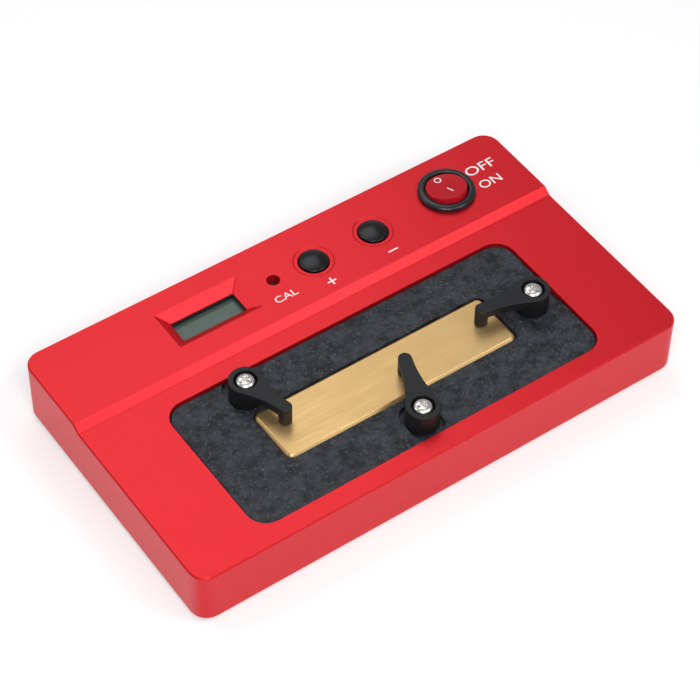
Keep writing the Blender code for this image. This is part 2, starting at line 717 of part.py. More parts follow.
add_object("thermal_cutoff", fuse_link_mesh, ceramic)
tray_wall = plate_x + tray_screw_x - tray_foot / 2
tray_left_wall = plate_x - tray_screw_x + tray_foot / 2
tray_right_end = plate_x + tray_screw_x + tray_foot / 2
tray_left_end = plate_x - tray_screw_x - tray_foot / 2
tray_floor_bottom = tray_floor_top - tray_thickness
tray_foot_bottom = tray_foot_top - tray_thickness
tray_outline = [
    (tray_left_wall, tray_floor_bottom),
    (tray_wall, tray_floor_bottom),
    (tray_wall, tray_foot_bottom),
    (tray_right_end, tray_foot_bottom),
    (tray_right_end, tray_foot_top),
    (tray_wall - tray_thickness, tray_foot_top),
    (tray_wall - tray_thickness, tray_floor_top),
    (tray_left_wall + tray_thickness, tray_floor_top),
    (tray_left_wall + tray_thickness, tray_foot_top),
    (tray_left_end, tray_foot_top),
    (tray_left_end, tray_foot_bottom),
    (tray_left_wall, tray_foot_bottom),
]
tray_mesh = extruded_along_y(tray_outline, plate_y - tray_width / 2, plate_y + tray_width / 2)
tray = add_object("retainer_tray", tray_mesh, bare_steel)
tray_holes = pins(tray_spots, tray_bore, tray_foot_bottom - overshoot, tray_foot_top + overshoot)
combine(tray, add_tool("tray holes", tray_holes), "DIFFERENCE")
tray_screw = (tray_screw_head, tray_screw_head_height, tray_screw_shank, tray_screw_length)
for index, spot in enumerate(tray_spots, 1):
    add_object(f"tray_screw_{index}", pan_screw(*tray_screw), bare_steel, (*spot, tray_screw_seat), upside_down)

# Swing clamps: a boss on the pivot, a waisted arm and a foot that reaches down to the plate


def clamp_arm(arm_reach):
    boss_radius = boss_diameter / 2
    tip_radius = arm_tip_diameter / 2
    boss_turn = math.radians(62.0)
    tip_turn = math.radians(95.0)
    tip = (arm_reach, 0.0)
    boss_outer = arc((0.0, 0.0), boss_radius, boss_turn, 2 * math.pi - boss_turn, 16)
    boss_inner = arc((0.0, 0.0), boss_radius, -boss_turn, boss_turn, 8)[1:-1]
    tip_outer = arc(tip, tip_radius, -tip_turn, tip_turn, 10)
    tip_inner = arc(tip, tip_radius, tip_turn, 2 * math.pi - tip_turn, 6)[1:-1]
    leave = boss_outer[-1]
    land = tip_outer[0]
    span = land[0] - leave[0]
    first = (leave[0] + span * 0.30, leave[1] + arm_waist * 1.9)
    second = (land[0] - span * 0.45, land[1] + arm_waist * 0.1)
    lower_side = bezier(leave, first, second, land, 8)
    upper_side = [(x, -y) for x, y in reversed(lower_side)]
    under = arm_top - arm_thickness
    boss_bottom = pocket_floor + clearance
    foot_bottom = plate_top + clearance
    builder = bmesh.new()

    def ring(outline, height):
        return [builder.verts.new((x, y, height)) for x, y in outline]

    def walls(lower, upper):
        for step in range(len(lower)):
            after = (step + 1) % len(lower)
            builder.faces.new((lower[step], lower[after], upper[after], upper[step]))

    rim = boss_outer + lower_side + tip_outer + upper_side
    top_ring = ring(rim, arm_top)
    under_ring = ring(rim, under)
    walls(under_ring, top_ring)
    builder.faces.new(top_ring)
    boss_count = len(boss_outer)
    side_count = len(lower_side)
    tip_start = boss_count + side_count
    tip_end = tip_start + len(tip_outer)
    boss_arc = under_ring[:boss_count]
    lower_run = under_ring[boss_count:tip_start]
    tip_arc = under_ring[tip_start:tip_end]
    upper_run = under_ring[tip_end:]
    boss_inside = ring(boss_inner, under)
    tip_inside = ring(tip_inner, under)
    boss_rim = boss_arc + boss_inside
    tip_rim = tip_arc + tip_inside
    boss_base = ring(boss_outer + boss_inner, boss_bottom)
    walls(boss_base, boss_rim)
    builder.faces.new(reversed(boss_base))
    foot_base = ring(tip_outer + tip_inner, foot_bottom)
    walls(foot_base, tip_rim)
    builder.faces.new(reversed(foot_base))
    middle = [boss_arc[-1]] + lower_run + [tip_arc[0]] + list(reversed(tip_inside))
    middle += [tip_arc[-1]] + upper_run + [boss_arc[0]] + list(reversed(boss_inside))
    builder.faces.new(reversed(middle))
    return builder


seat_radius = max(seat_diameter, washer_diameter + 2 * clearance, head_diameter + 2 * clearance) / 2
bore_radius = shank_diameter / 2 + clearance
arm_bore_profile = [(0.0, pocket_floor - overshoot), (bore_radius, pocket_floor - overshoot)]
arm_bore_profile += [(bore_radius, seat_floor), (seat_radius, seat_floor)]
arm_bore_profile += [(seat_radius, arm_top + overshoot), (0.0, arm_top + overshoot)]
washer_hole = shank_diameter / 2 + clearance
washer_profile = [(washer_hole, washer_bottom), (washer_diameter / 2, washer_bottom)]
washer_profile += [(washer_diameter / 2, washer_top), (washer_hole, washer_top)]
clamps = (("left", left_pivot, left_tip), ("front", front_pivot, front_tip), ("right", right_pivot, right_tip))
for name, pivot, tip in clamps:
    arm_reach = (tip - pivot).length
    angle = math.atan2(tip.y - pivot.y, tip.x - pivot.x)
    arm = add_object(f"clamp_arm_{name}", clamp_arm(arm_reach), clamp_plastic, (*pivot, 0.0), (0.0, 0.0, angle))
    chamfer_edges(arm, arm_edge)
    arm_bore = add_tool(f"clamp bore {name}", turned(arm_bore_profile, 28), (*pivot, 0.0))
    combine(arm, arm_bore, "DIFFERENCE")
    clamp_screw = pan_screw(head_diameter, head_height, shank_diameter, shank_length, 20, 3)
    add_object(f"clamp_screw_{name}", clamp_screw, chrome_steel, (*pivot, head_bottom))
    add_object(f"clamp_washer_{name}", turned(washer_profile, 20), chrome_steel, (*pivot, 0.0))

# Display glass and its holder
glass_top = ceiling - clearance
glass_bottom = glass_top - glass_thickness
glass_mesh = slab(glass_length, glass_depth, 0.5 * mm, glass_bottom, glass_top, 0.0, display_centre, 2)
add_object("display_glass", glass_mesh, glass_grey)
holder_top = glass_bottom - clearance
holder_mesh = slab(glass_length, glass_depth, 0.5 * mm, part_seat, holder_top, 0.0, display_centre, 2)
add_object("display_holder", holder_mesh, white_plastic)

# Keys: a domed cap with a collar under the panel, its plunger and the switch below
key_radius = key_diameter / 2
dome_radius = (key_radius ** 2 + key_dome ** 2) / (2 * key_dome)
key_profile = [(0.0, collar_bottom), (key_collar / 2, collar_bottom), (key_collar / 2, collar_top)]
key_profile += [(key_radius, collar_top), (key_radius, panel_top + 0.1 * mm)]
for step in range(1, 4):
    radius = key_radius * math.cos(step * math.pi / 8)
    rise = math.sqrt(dome_radius ** 2 - radius ** 2) - (dome_radius - key_dome)
    key_profile.append((radius, panel_top + 0.1 * mm + rise))
key_profile.append((0.0, panel_top + 0.1 * mm + key_dome))
plunger_bottom = tact_top - tact_well + clearance + key_travel
plunger_profile = [(0.0, plunger_bottom), (plunger_diameter / 2, plunger_bottom)]
plunger_profile += [(plunger_diameter / 2, plunger_top), (0.0, plunger_top)]
tact_well_radius = plunger_diameter / 2 + clearance
for name, x in (("plus", plus_x), ("minus", minus_x)):
    add_object(f"{name}_key", turned(key_profile, 28), gloss_black, (x, key_y, 0.0))
    add_object(f"{name}_plunger", turned(plunger_profile, 16), matte_black, (x, key_y, 0.0))
cal_top = panel_top - cal_sink
cal_profile = [(0.0, plunger_bottom), (plunger_diameter / 2, plunger_bottom)]
cal_profile += [(plunger_diameter / 2, collar_bottom), (cal_collar / 2, collar_bottom)]
cal_profile += [(cal_collar / 2, collar_top), (cal_hole / 2 - clearance, collar_top)]
cal_profile += [(cal_hole / 2 - clearance, cal_top - 0.3 * mm), (cal_hole / 2 - clearance - 0.4 * mm, cal_top)]
cal_profile.append((0.0, cal_top))
add_object("cal_key", turned(cal_profile, 20), matte_black, (cal_x, cal_y, 0.0))
for name, x, y in (("plus", plus_x, key_y), ("minus", minus_x, key_y), ("cal", cal_x, cal_y)):
    tact_mesh = slab(tact_size, tact_size, 0.5 * mm, part_seat, part_seat + tact_height, 0.0, (x, y), 2)
    tact = add_object(f"{name}_switch", tact_mesh, matte_black)
    well = pins([(x, y)], 2 * tact_well_radius, tact_top - tact_well, tact_top + overshoot, 20)
    combine(tact, add_tool(f"{name} well", well), "DIFFERENCE")

# Control board with its screws and the larger parts on it
board_length = board_right - board_left
board_depth = board_back - board_front
board_mesh = slab(board_length, board_depth, 1.0 * mm, board_bottom, board_top, 0.0, board_centre, 3)
board = add_object("control_board", board_mesh, board_green)
board_holes = pins(board_spots, board_bore, board_bottom - overshoot, board_top + overshoot)
combine(board, add_tool("board holes", board_holes), "DIFFERENCE")
board_screw = (board_screw_head, board_screw_head_height, board_screw_shank, board_screw_length)
for index, spot in enumerate(board_spots, 1):
    screw_mesh = pan_screw(*board_screw)
    add_object(f"board_screw_{index}", screw_mesh, bare_steel, (*spot, board_screw_seat), upside_down)
strip_y = board_front + capacitor_width / 2 + 1.0 * mm
chip_centre = ((plus_x + minus_x) / 2, key_y)
chip_mesh = slab(chip_size, chip_size, 0.2 * mm, part_seat, part_seat + chip_height, 0.0, chip_centre, 1)
add_object("microcontroller", chip_mesh, chip_black)
capacitor_centre = (plus_x + capacitor_shift, strip_y)
capacitor_top = part_seat + capacitor_height
capacitor_size = (capacitor_length, capacitor_width, 0.5 * mm)
capacitor_mesh = slab(*capacitor_size, part_seat, capacitor_top, 0.4 * mm, capacitor_centre, 2)
add_object("film_capacitor", capacitor_mesh, capacitor_box)
triac_centre = (minus_x + 2.4 * mm, board_front + triac_width / 2 + 0.5 * mm)
triac_top = part_seat + triac_height
triac_mesh = slab(triac_length, triac_width, 0.3 * mm, part_seat, triac_top, 0.0, triac_centre, 1)
add_object("triac", triac_mesh, chip_black)
fuse_centre_z = part_seat + fuse_diameter / 2
fuse_outline = circle(fuse_diameter / 2, 16, (strip_y, fuse_centre_z))
fuse_mesh = extruded_along_x(fuse_outline, display_x - 4.0 * mm, display_x - 4.0 * mm + fuse_length)
add_object("mains_fuse", fuse_mesh, fuse_glass)

# Power switch: a round flange and barrel, a tilting rocker on pins and two blade terminals
pivot_z = panel_top + rocker_pivot_height
bowl_radius = rocker_radius + clearance
bowl_floor = pivot_z - 5.2 * mm
flange_radius = switch_flange / 2
flange_base = panel_top + clearance
crown = panel_top + switch_flange_height
body_profile = [
    (0.0, switch_bottom),
    (switch_barrel / 2, switch_bottom),
    (switch_barrel / 2, flange_base),
    (flange_radius, flange_base),
    (flange_radius, flange_base + 0.45 * mm),
    (flange_radius - 0.35 * mm, crown - 0.55 * mm),
    (flange_radius - 0.85 * mm, crown - 0.12 * mm),
    (flange_radius - 1.35 * mm, crown),
    (bowl_radius + 0.25 * mm, crown - 0.08 * mm),
    (bowl_radius, crown - 0.4 * mm),
    (bowl_radius, bowl_floor),
    (0.0, bowl_floor),
]
switch_centre = (switch_x, switch_y)
switch_body = add_object("switch_body", turned(body_profile, 36, switch_centre), matte_black)
pin_hole_radius = rocker_pin_diameter / 2 + clearance
pin_hole_reach = bowl_radius + rocker_pin_reach
pin_hole_outline = circle(pin_hole_radius, 12, (switch_y, pivot_z))
pin_holes = extruded_along_x(pin_hole_outline, switch_x - pin_hole_reach, switch_x + pin_hole_reach)
combine(switch_body, add_tool("rocker pin holes", pin_holes), "DIFFERENCE")
slot_top = switch_bottom + terminal_root + clearance
slots = bmesh.new()
slot_width = terminal_width + 2 * clearance
slot_depth = terminal_thickness + 2 * clearance
terminal_spots = [(switch_x, switch_y - terminal_spacing / 2), (switch_x, switch_y + terminal_spacing / 2)]
for x, y in terminal_spots:
    slot_outline = rounded_rectangle(slot_width, slot_depth, 0.1 * mm, 1, (x, y))
    prism(slot_outline, switch_bottom - overshoot, slot_top, slots)
combine(switch_body, add_tool("terminal slots", slots), "DIFFERENCE")
for index, spot in enumerate(terminal_spots, 1):
    blade_bottom = switch_bottom - terminal_length
    blade_top = switch_bottom + terminal_root
    blade = slab(terminal_width, terminal_thickness, 0.1 * mm, blade_bottom, blade_top, 0.0, spot, 1)
    add_object(f"switch_terminal_{index}", blade, brass)

face_height = math.sqrt(rocker_radius ** 2 - rocker_face_radius ** 2)
rocker_profile = [(0.0, -rocker_bottom)]
low_turn = -math.asin(rocker_bottom / rocker_radius)
high_turn = math.asin(face_height / rocker_radius)
for step in range(6):
    turn = low_turn + (high_turn - low_turn) * step / 5
    rocker_profile.append((rocker_radius * math.cos(turn), rocker_radius * math.sin(turn)))
for step in (3, 2, 1):
    share = step / 4
    dish = rocker_dish * (1 - share ** 2)
    rocker_profile.append((rocker_face_radius * share, face_height - dish))
rocker_profile.append((0.0, face_height - rocker_dish))
rocker_place = (switch_x, switch_y, pivot_z)
rocker = add_object("rocker", turned(rocker_profile, 36), rocker_red, rocker_place, (-rocker_tilt, 0.0, 0.0))
pin_reach = bowl_radius + rocker_pin_reach - clearance
pin_mesh = extruded_along_x(circle(rocker_pin_diameter / 2, 12), -pin_reach, pin_reach)
combine(rocker, add_tool("rocker pins", pin_mesh, rocker_place, (-rocker_tilt, 0.0, 0.0)), "UNION")

# Mains inlet: a flanged body with a two-lobed socket and two pins
inlet_front_x = right_x - 0.1 * mm
inlet_flange_outline = rounded_rectangle(inlet_flange_width, inlet_flange_height, 1.0 * mm, 3, inlet_centre)
inlet_flange_back = inlet_front_x - inlet_flange_thickness
inlet_flange_mesh = extruded_along_x(inlet_flange_outline, inlet_flange_back, inlet_front_x)
inlet = add_object("inlet_body", inlet_flange_mesh, matte_black)
inlet_body_outline = rounded_rectangle(inlet_body_width, inlet_body_height, 0.8 * mm, 3, inlet_centre)
inlet_body_end = inlet_front_x - inlet_body_depth
inlet_barrel = extruded_along_x(inlet_body_outline, inlet_body_end, inlet_front_x - 0.5 * mm)
combine(inlet, add_tool("inlet barrel", inlet_barrel), "UNION")
lobe = inlet_socket_height / 2
lobe_shift = inlet_socket_width / 2 - lobe
waist_turn = math.radians(40.0)
socket_outline = arc((inlet_y + lobe_shift, inlet_z), lobe, -math.pi + waist_turn, math.pi - waist_turn, 14)
socket_outline += arc((inlet_y - lobe_shift, inlet_z), lobe, waist_turn, 2 * math.pi - waist_turn, 14)
socket_floor_x = inlet_front_x - inlet_socket_depth
socket = extruded_along_x(socket_outline, socket_floor_x, inlet_front_x + overshoot)
combine(inlet, add_tool("inlet socket", socket), "DIFFERENCE")
pin_bore_radius = inlet_pin_diameter / 2 + clearance
pin_bores = bmesh.new()
pin_centres = [inlet_y - inlet_pin_spacing / 2, inlet_y + inlet_pin_spacing / 2]
for y in pin_centres:
    bore_outline = circle(pin_bore_radius, 16, (y, inlet_z))
    bore = extruded_along_x(bore_outline, inlet_body_end - overshoot, socket_floor_x + overshoot)
    bore_mesh = bpy.data.meshes.new("pin bore")
    bore.to_mesh(bore_mesh)
    bore.free()
    pin_bores.from_mesh(bore_mesh)
combine(inlet, add_tool("inlet pin bores", pin_bores), "DIFFERENCE")
pin_tip_x = inlet_front_x - 1.5 * mm
for index, y in enumerate(pin_centres, 1):
    pin_outline = circle(inlet_pin_diameter / 2, 16, (y, inlet_z))
    pin = extruded_along_x(pin_outline, pin_tip_x - inlet_pin_length, pin_tip_x)
    add_object(f"inlet_pin_{index}", pin, brass)
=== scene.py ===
# Bench preheater for small circuit boards: red anodised housing, black insert with a gold heating plate,
# three swing clamps, and a control panel with a display, two keys and a round rocker switch.
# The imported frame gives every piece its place. Lengths in the dictionaries are in millimetres.

import json
import math

import bmesh
import bpy
from mathutils import Matrix, Vector


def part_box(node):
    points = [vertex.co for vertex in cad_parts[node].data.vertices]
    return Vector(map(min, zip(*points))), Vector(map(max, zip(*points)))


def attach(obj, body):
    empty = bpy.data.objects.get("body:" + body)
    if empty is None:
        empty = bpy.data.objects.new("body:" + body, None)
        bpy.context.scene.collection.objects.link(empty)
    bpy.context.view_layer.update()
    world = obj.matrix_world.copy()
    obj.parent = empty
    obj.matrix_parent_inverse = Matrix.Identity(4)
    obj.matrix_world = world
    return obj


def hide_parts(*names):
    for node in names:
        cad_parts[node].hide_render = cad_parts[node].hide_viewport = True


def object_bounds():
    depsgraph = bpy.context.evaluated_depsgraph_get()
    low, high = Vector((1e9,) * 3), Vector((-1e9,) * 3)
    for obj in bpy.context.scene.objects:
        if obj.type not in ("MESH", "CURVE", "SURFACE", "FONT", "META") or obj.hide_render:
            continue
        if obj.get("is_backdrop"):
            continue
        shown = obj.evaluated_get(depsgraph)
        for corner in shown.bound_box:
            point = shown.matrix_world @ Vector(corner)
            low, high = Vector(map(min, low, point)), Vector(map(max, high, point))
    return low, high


mm = 0.001
uprightAngle = 30.0
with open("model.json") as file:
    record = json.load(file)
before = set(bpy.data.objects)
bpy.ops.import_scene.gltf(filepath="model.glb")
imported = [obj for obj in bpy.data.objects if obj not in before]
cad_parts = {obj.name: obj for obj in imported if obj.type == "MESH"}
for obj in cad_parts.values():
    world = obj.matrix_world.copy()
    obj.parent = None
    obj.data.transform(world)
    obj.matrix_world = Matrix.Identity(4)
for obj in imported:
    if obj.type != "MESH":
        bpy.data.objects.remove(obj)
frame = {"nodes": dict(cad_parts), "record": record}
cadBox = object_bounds()
record = frame["record"]
nodes = frame["nodes"]
bodyOf = {node: body for body, members in record["behaviour"]["bodies"].items() for node in members}
slotOf = {part["node"]: part["material_slot"] for part in record["subparts"]}
print("frame loaded:", len(nodes), "nodes")


def boxOf(nodeName):
    # lowest corner, highest corner and middle of a node, in millimetres
    low, high = (Vector(corner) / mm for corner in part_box(nodeName))
    return low, high, (low + high) / 2


def hexColour(code):
    channels = []
    for start in (1, 3, 5):
        value = int(code[start:start + 2], 16) / 255
        channels.append(value / 12.92 if value <= 0.04045 else ((value + 0.055) / 1.055) ** 2.4)
    return (*channels, 1.0)


def addNode(tree, kind, settings=None, inputs=None):
    # inputs may hold plain values, or the output sockets that are to be linked
    node = tree.nodes.new(kind)
    for key, value in (settings or {}).items():
        setattr(node, key, value)
    for socket, value in (inputs or {}).items():
        values = value if isinstance(value, list) else [value]
        for item in values:
            if isinstance(item, bpy.types.NodeSocket):
                tree.links.new(item, node.inputs[socket])
            else:
                node.inputs[socket].default_value = item
    return node


multiply = {"operation": "MULTIPLY"}
colourMix = {"data_type": "RGBA"}


def newMaterial(name, colour, roughness, metallic=0.0, constants=None):
    result = bpy.data.materials.new(name)
    result.use_nodes = True
    tree = result.node_tree
    shader = tree.nodes["Principled BSDF"]
    shader.inputs["Base Color"].default_value = hexColour(colour)
    shader.inputs["Roughness"].default_value = roughness
    shader.inputs["Metallic"].default_value = metallic
    for socket, value in (constants or {}).items():
        shader.inputs[socket].default_value = value
    result.diffuse_color = hexColour(colour)
    return result, tree, shader


# Mesh helpers


def circlePoints(radius, count, centre=(0.0, 0.0)):
    turns = [2 * math.pi * step / count for step in range(count)]
    return [(centre[0] + radius * math.cos(turn), centre[1] + radius * math.sin(turn)) for turn in turns]


def turnProfile(profile, count, builder=None):
    # profile is (radius, height) pairs from bottom to top, closed on the axis or into a ring
    builder = builder or bmesh.new()
    rings = []
    for radius, height in profile:
        outline = circlePoints(radius, count) if radius > 0.0 else [(0.0, 0.0)]
        rings.append([builder.verts.new((x, y, height)) for x, y in outline])
    pairs = list(zip(rings, rings[1:]))
    if profile[0][0] > 0.0:
        pairs.append((rings[-1], rings[0]))
    for lower, upper in pairs:
        for step in range(count):
            after = (step + 1) % count
            if len(lower) == 1:
                builder.faces.new((lower[0], upper[after], upper[step]))
            elif len(upper) == 1:
                builder.faces.new((lower[step], lower[after], upper[0]))
            else:
                builder.faces.new((lower[step], lower[after], upper[after], upper[step]))
    return builder


def liftOutline(outline, bottom, top, builder=None):
    # a closed plate on an outline, bottom and top are heights or functions of (x, y)
    builder = builder or bmesh.new()
    rings = []
    for level in (bottom, top):
        rings.append([builder.verts.new((x, y, level(x, y) if callable(level) else level)) for x, y in outline])
    for step in range(len(outline)):
        after = (step + 1) % len(outline)
        builder.faces.new((rings[0][step], rings[0][after], rings[1][after], rings[1][step]))
    builder.faces.new(reversed(rings[0]))
    builder.faces.new(rings[1])
    return builder


def liftRing(outer, inner, bottom, top, builder=None):
    # a closed band between two outlines with the same count of points
    builder = builder or bmesh.new()
    rings = []
    for outline, level in ((inner, bottom), (outer, bottom), (outer, top), (inner, top)):
        rings.append([builder.verts.new((x, y, level(x, y) if callable(level) else level)) for x, y in outline])
    for first, second in zip(rings, rings[1:] + rings[:1]):
        for step in range(len(outer)):
            after = (step + 1) % len(outer)
            builder.faces.new((first[step], first[after], second[after], second[step]))
    return builder


def markSharp(mesh, angle):
    # edges that stand upright belong to rounded corners, and stay smooth up to a wider angle
    builder = bmesh.new()
    builder.from_mesh(mesh)
    for edge in builder.edges:
        run = edge.verts[1].co - edge.verts[0].co
        upright = abs(run.z) > 0.95 * run.length
        limit = max(angle, uprightAngle) if upright else angle
        edge.smooth = len(edge.link_faces) == 2 and edge.calc_face_angle() < math.radians(limit)
    builder.to_mesh(mesh)
    builder.free()


def newPiece(name, builder, material, place=None, sharpAngle=35.0):
    # builder and place are in millimetres, the piece is in metres with its place in its mesh
    if place is not None:
        bmesh.ops.transform(builder, matrix=place, verts=builder.verts)
    bmesh.ops.scale(builder, vec=(mm, mm, mm), verts=builder.verts)
    bmesh.ops.recalc_face_normals(builder, faces=builder.faces)
    mesh = bpy.data.meshes.new(name)
    builder.to_mesh(mesh)
    builder.free()
    mesh.shade_smooth()
    markSharp(mesh, sharpAngle)
    mesh.materials.append(material)
    piece = bpy.data.objects.new(name, mesh)
    bpy.context.scene.collection.objects.link(piece)
    return piece


def flatten(piece):
    # modifiers become plain mesh
    graph = bpy.context.evaluated_depsgraph_get()
    mesh = bpy.data.meshes.new_from_object(piece.evaluated_get(graph))
    piece.modifiers.clear()
    piece.data = mesh


def combine(piece, tool, operation):
    modifier = piece.modifiers.new(operation, "BOOLEAN")
    modifier.operation = operation
    modifier.object = tool
    modifier.solver = "EXACT"
    flatten(piece)
    bpy.data.objects.remove(tool, do_unlink=True)


def easeEdges(piece, width, segments, angle):
    modifier = piece.modifiers.new("eased edges", "BEVEL")
    modifier.width = width * mm
    modifier.segments = segments
    modifier.limit_method = "ANGLE"
    modifier.angle_limit = math.radians(angle)
    flatten(piece)


def finishPiece(piece, body, slotName, *nodeNames, sharpAngle=None):
    if sharpAngle:
        markSharp(piece.data, sharpAngle)
    # the largest face at a corner sets its normal, so flat faces shade flat beside narrow ones
    weighted = piece.modifiers.new("flat faces stay flat", "WEIGHTED_NORMAL")
    weighted.keep_sharp = True
    weighted.weight = 100
    weighted.thresh = 0.0
    flatten(piece)
    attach(piece, body)
    if nodeNames:
        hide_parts(*nodeNames)
    return piece


def refineNode(nodeName, newName, material, sharpAngle, edge=0.0, segments=2, edgeAngle=60.0):
    # a merged copy of a frame solid with smooth curves and eased edges
    builder = bmesh.new()
    builder.from_mesh(nodes[nodeName].data)
    bmesh.ops.remove_doubles(builder, verts=builder.verts, dist=0.002 * mm)
    bmesh.ops.dissolve_limit(builder, angle_limit=math.radians(0.5), verts=builder.verts, edges=builder.edges)
    bmesh.ops.scale(builder, vec=(1 / mm, 1 / mm, 1 / mm), verts=builder.verts)
    piece = newPiece(newName, builder, material, None, sharpAngle)
    if edge > 0.0:
        easeEdges(piece, edge, segments, edgeAngle)
    return finishPiece(piece, bodyOf[nodeName], slotOf[nodeName], nodeName, sharpAngle=sharpAngle)


# Camera at the photograph's viewing angle

cameraSetup = {
    "target": (6.18, 10.69, 1.5),
    "distance": 706.8,
    "azimuth": -35.68,
    "elevation": 49.07,
    "roll": 1.02,
    "lens": 127.4,
}


def addCamera():
    azimuth, elevation, roll = (math.radians(cameraSetup[key]) for key in ("azimuth", "elevation", "roll"))
    flat = math.cos(elevation)
    back = Vector((math.sin(azimuth) * flat, -math.cos(azimuth) * flat, math.sin(elevation)))
    right = Vector((0.0, 0.0, 1.0)).cross(back).normalized()
    up = back.cross(right)
    rolledRight = right * math.cos(roll) + up * math.sin(roll)
    rolledUp = up * math.cos(roll) - right * math.sin(roll)
    lens = bpy.data.cameras.new("photoCamera")
    lens.lens = cameraSetup["lens"]
    lens.clip_start = 0.01
    lens.clip_end = 20.0
    camera = bpy.data.objects.new("photoCamera", lens)
    place = Matrix((rolledRight, rolledUp, back)).transposed().to_4x4()
    place.translation = (Vector(cameraSetup["target"]) + back * cameraSetup["distance"]) * mm
    camera.matrix_world = place
    bpy.context.scene.collection.objects.link(camera)
    bpy.context.scene.camera = camera


addCamera()
print("camera placed")

# Materials, each named for the real material and for how its surface was made


def anodisedRed():
    # aluminium, milled, bead blasted and dyed: satin, so it glows towards the light and stays deep beside it,
    # and the sealed oxide over the dye turns its highlights pink
    constants = {"Coat Weight": 0.1, "Coat Roughness": 0.3}
    result, tree, shader = newMaterial("aluminium, bead blasted and anodised red", "#d41622", 0.38, 0.6, constants)
    place = addNode(tree, "ShaderNodeTexCoord").outputs["Object"]
    cloud = addNode(tree, "ShaderNodeTexNoise", None, {"Vector": place, "Scale": 1 / (35 * mm), "Detail": 1.0})
    colours = {0: cloud.outputs["Fac"], 6: hexColour("#d0131f"), 7: hexColour("#d81925")}
    colour = addNode(tree, "ShaderNodeMix", colourMix, colours)
    tree.links.new(colour.outputs[2], shader.inputs["Base Color"])
    # blasting leaves grains of 0.1 mm, drawn at 0.45 mm so that they show
    grain = addNode(tree, "ShaderNodeTexNoise", None, {"Vector": place, "Scale": 1 / (0.45 * mm), "Detail": 3.0})
    gloss = {"Value": grain.outputs["Fac"], "From Min": 0.3, "From Max": 0.7, "To Min": 0.35, "To Max": 0.45}
    tree.links.new(addNode(tree, "ShaderNodeMapRange", None, gloss).outputs["Result"], shader.inputs["Roughness"])
    relief = {"Height": grain.outputs["Fac"], "Distance": 0.012 * mm, "Strength": 0.5}
    tree.links.new(addNode(tree, "ShaderNodeBump", None, relief).outputs["Normal"], shader.inputs["Normal"])
    return result


def milledComposite():
    # fibre board, milled: black and cloudy, with torn fibres that catch the light as small pale flecks
    constants = {"Specular IOR Level": 0.3}
    result, tree, shader = newMaterial("fibre composite, milled", "#24262a", 0.6, 0.0, constants)
    place = addNode(tree, "ShaderNodeTexCoord").outputs["Object"]
    cloud = addNode(tree, "ShaderNodeTexNoise", None,
                    {"Vector": place, "Scale": 1 / (3.4 * mm), "Detail": 5.0, "Roughness": 0.65})
    fleck = addNode(tree, "ShaderNodeTexNoise", None,
                    {"Vector": place, "Scale": 1 / (0.9 * mm), "Detail": 4.0, "Roughness": 0.7})
    shade = addNode(tree, "ShaderNodeMapRange", None,
                    {"Value": cloud.outputs["Fac"], "From Min": 0.38, "From Max": 0.62})
    colours = {0: shade.outputs["Result"], 6: hexColour("#141619"), 7: hexColour("#31343a")}
    base = addNode(tree, "ShaderNodeMix", colourMix, colours)
    torn = addNode(tree, "ShaderNodeMapRange", None,
                   {"Value": fleck.outputs["Fac"], "From Min": 0.54, "From Max": 0.72, "To Max": 0.85})
    colours = {0: torn.outputs["Result"], 6: base.outputs[2], 7: hexColour("#565b63")}
    tree.links.new(addNode(tree, "ShaderNodeMix", colourMix, colours).outputs[2],
                   shader.inputs["Base Color"])
    gloss = {"Value": fleck.outputs["Fac"], "From Min": 0.3, "From Max": 0.7, "To Min": 0.45, "To Max": 0.72}
    tree.links.new(addNode(tree, "ShaderNodeMapRange", None, gloss).outputs["Result"], shader.inputs["Roughness"])
    wide = addNode(tree, "ShaderNodeBump", None,
                   {"Height": cloud.outputs["Fac"], "Distance": 0.25 * mm, "Strength": 0.6})
    fine = {"Height": fleck.outputs["Fac"], "Distance": 0.08 * mm, "Strength": 0.6, "Normal": wide.outputs["Normal"]}
    tree.links.new(addNode(tree, "ShaderNodeBump", None, fine).outputs["Normal"], shader.inputs["Normal"])
    return result


def anodisedGold():
    # aluminium plate, brushed along its length and dyed gold: warm satin with long faint streaks
    result, tree, shader = newMaterial("aluminium, brushed and anodised gold", "#d0ad74", 0.4, 0.85)
    place = addNode(tree, "ShaderNodeTexCoord").outputs["Object"]
    along = addNode(tree, "ShaderNodeMapping", None, {"Vector": place, "Scale": (0.03, 1.0, 1.0)})
    # brush lines are 0.05 mm apart, drawn at 0.4 mm so that they show
    streak = addNode(tree, "ShaderNodeTexNoise", None,
                     {"Vector": along.outputs["Vector"], "Scale": 1 / (0.4 * mm), "Detail": 3.0})
    cloud = addNode(tree, "ShaderNodeTexNoise", None, {"Vector": place, "Scale": 1 / (14 * mm), "Detail": 2.0})
    colours = {0: cloud.outputs["Fac"], 6: hexColour("#caa66d"), 7: hexColour("#d6b47e")}
    tree.links.new(addNode(tree, "ShaderNodeMix", colourMix, colours).outputs[2],
                   shader.inputs["Base Color"])
    gloss = {"Value": streak.outputs["Fac"], "From Min": 0.3, "From Max": 0.7, "To Min": 0.34, "To Max": 0.48}
    tree.links.new(addNode(tree, "ShaderNodeMapRange", None, gloss).outputs["Result"], shader.inputs["Roughness"])
    relief = {"Height": streak.outputs["Fac"], "Distance": 0.01 * mm, "Strength": 0.5}
    tree.links.new(addNode(tree, "ShaderNodeBump", None, relief).outputs["Normal"], shader.inputs["Normal"])
    return result


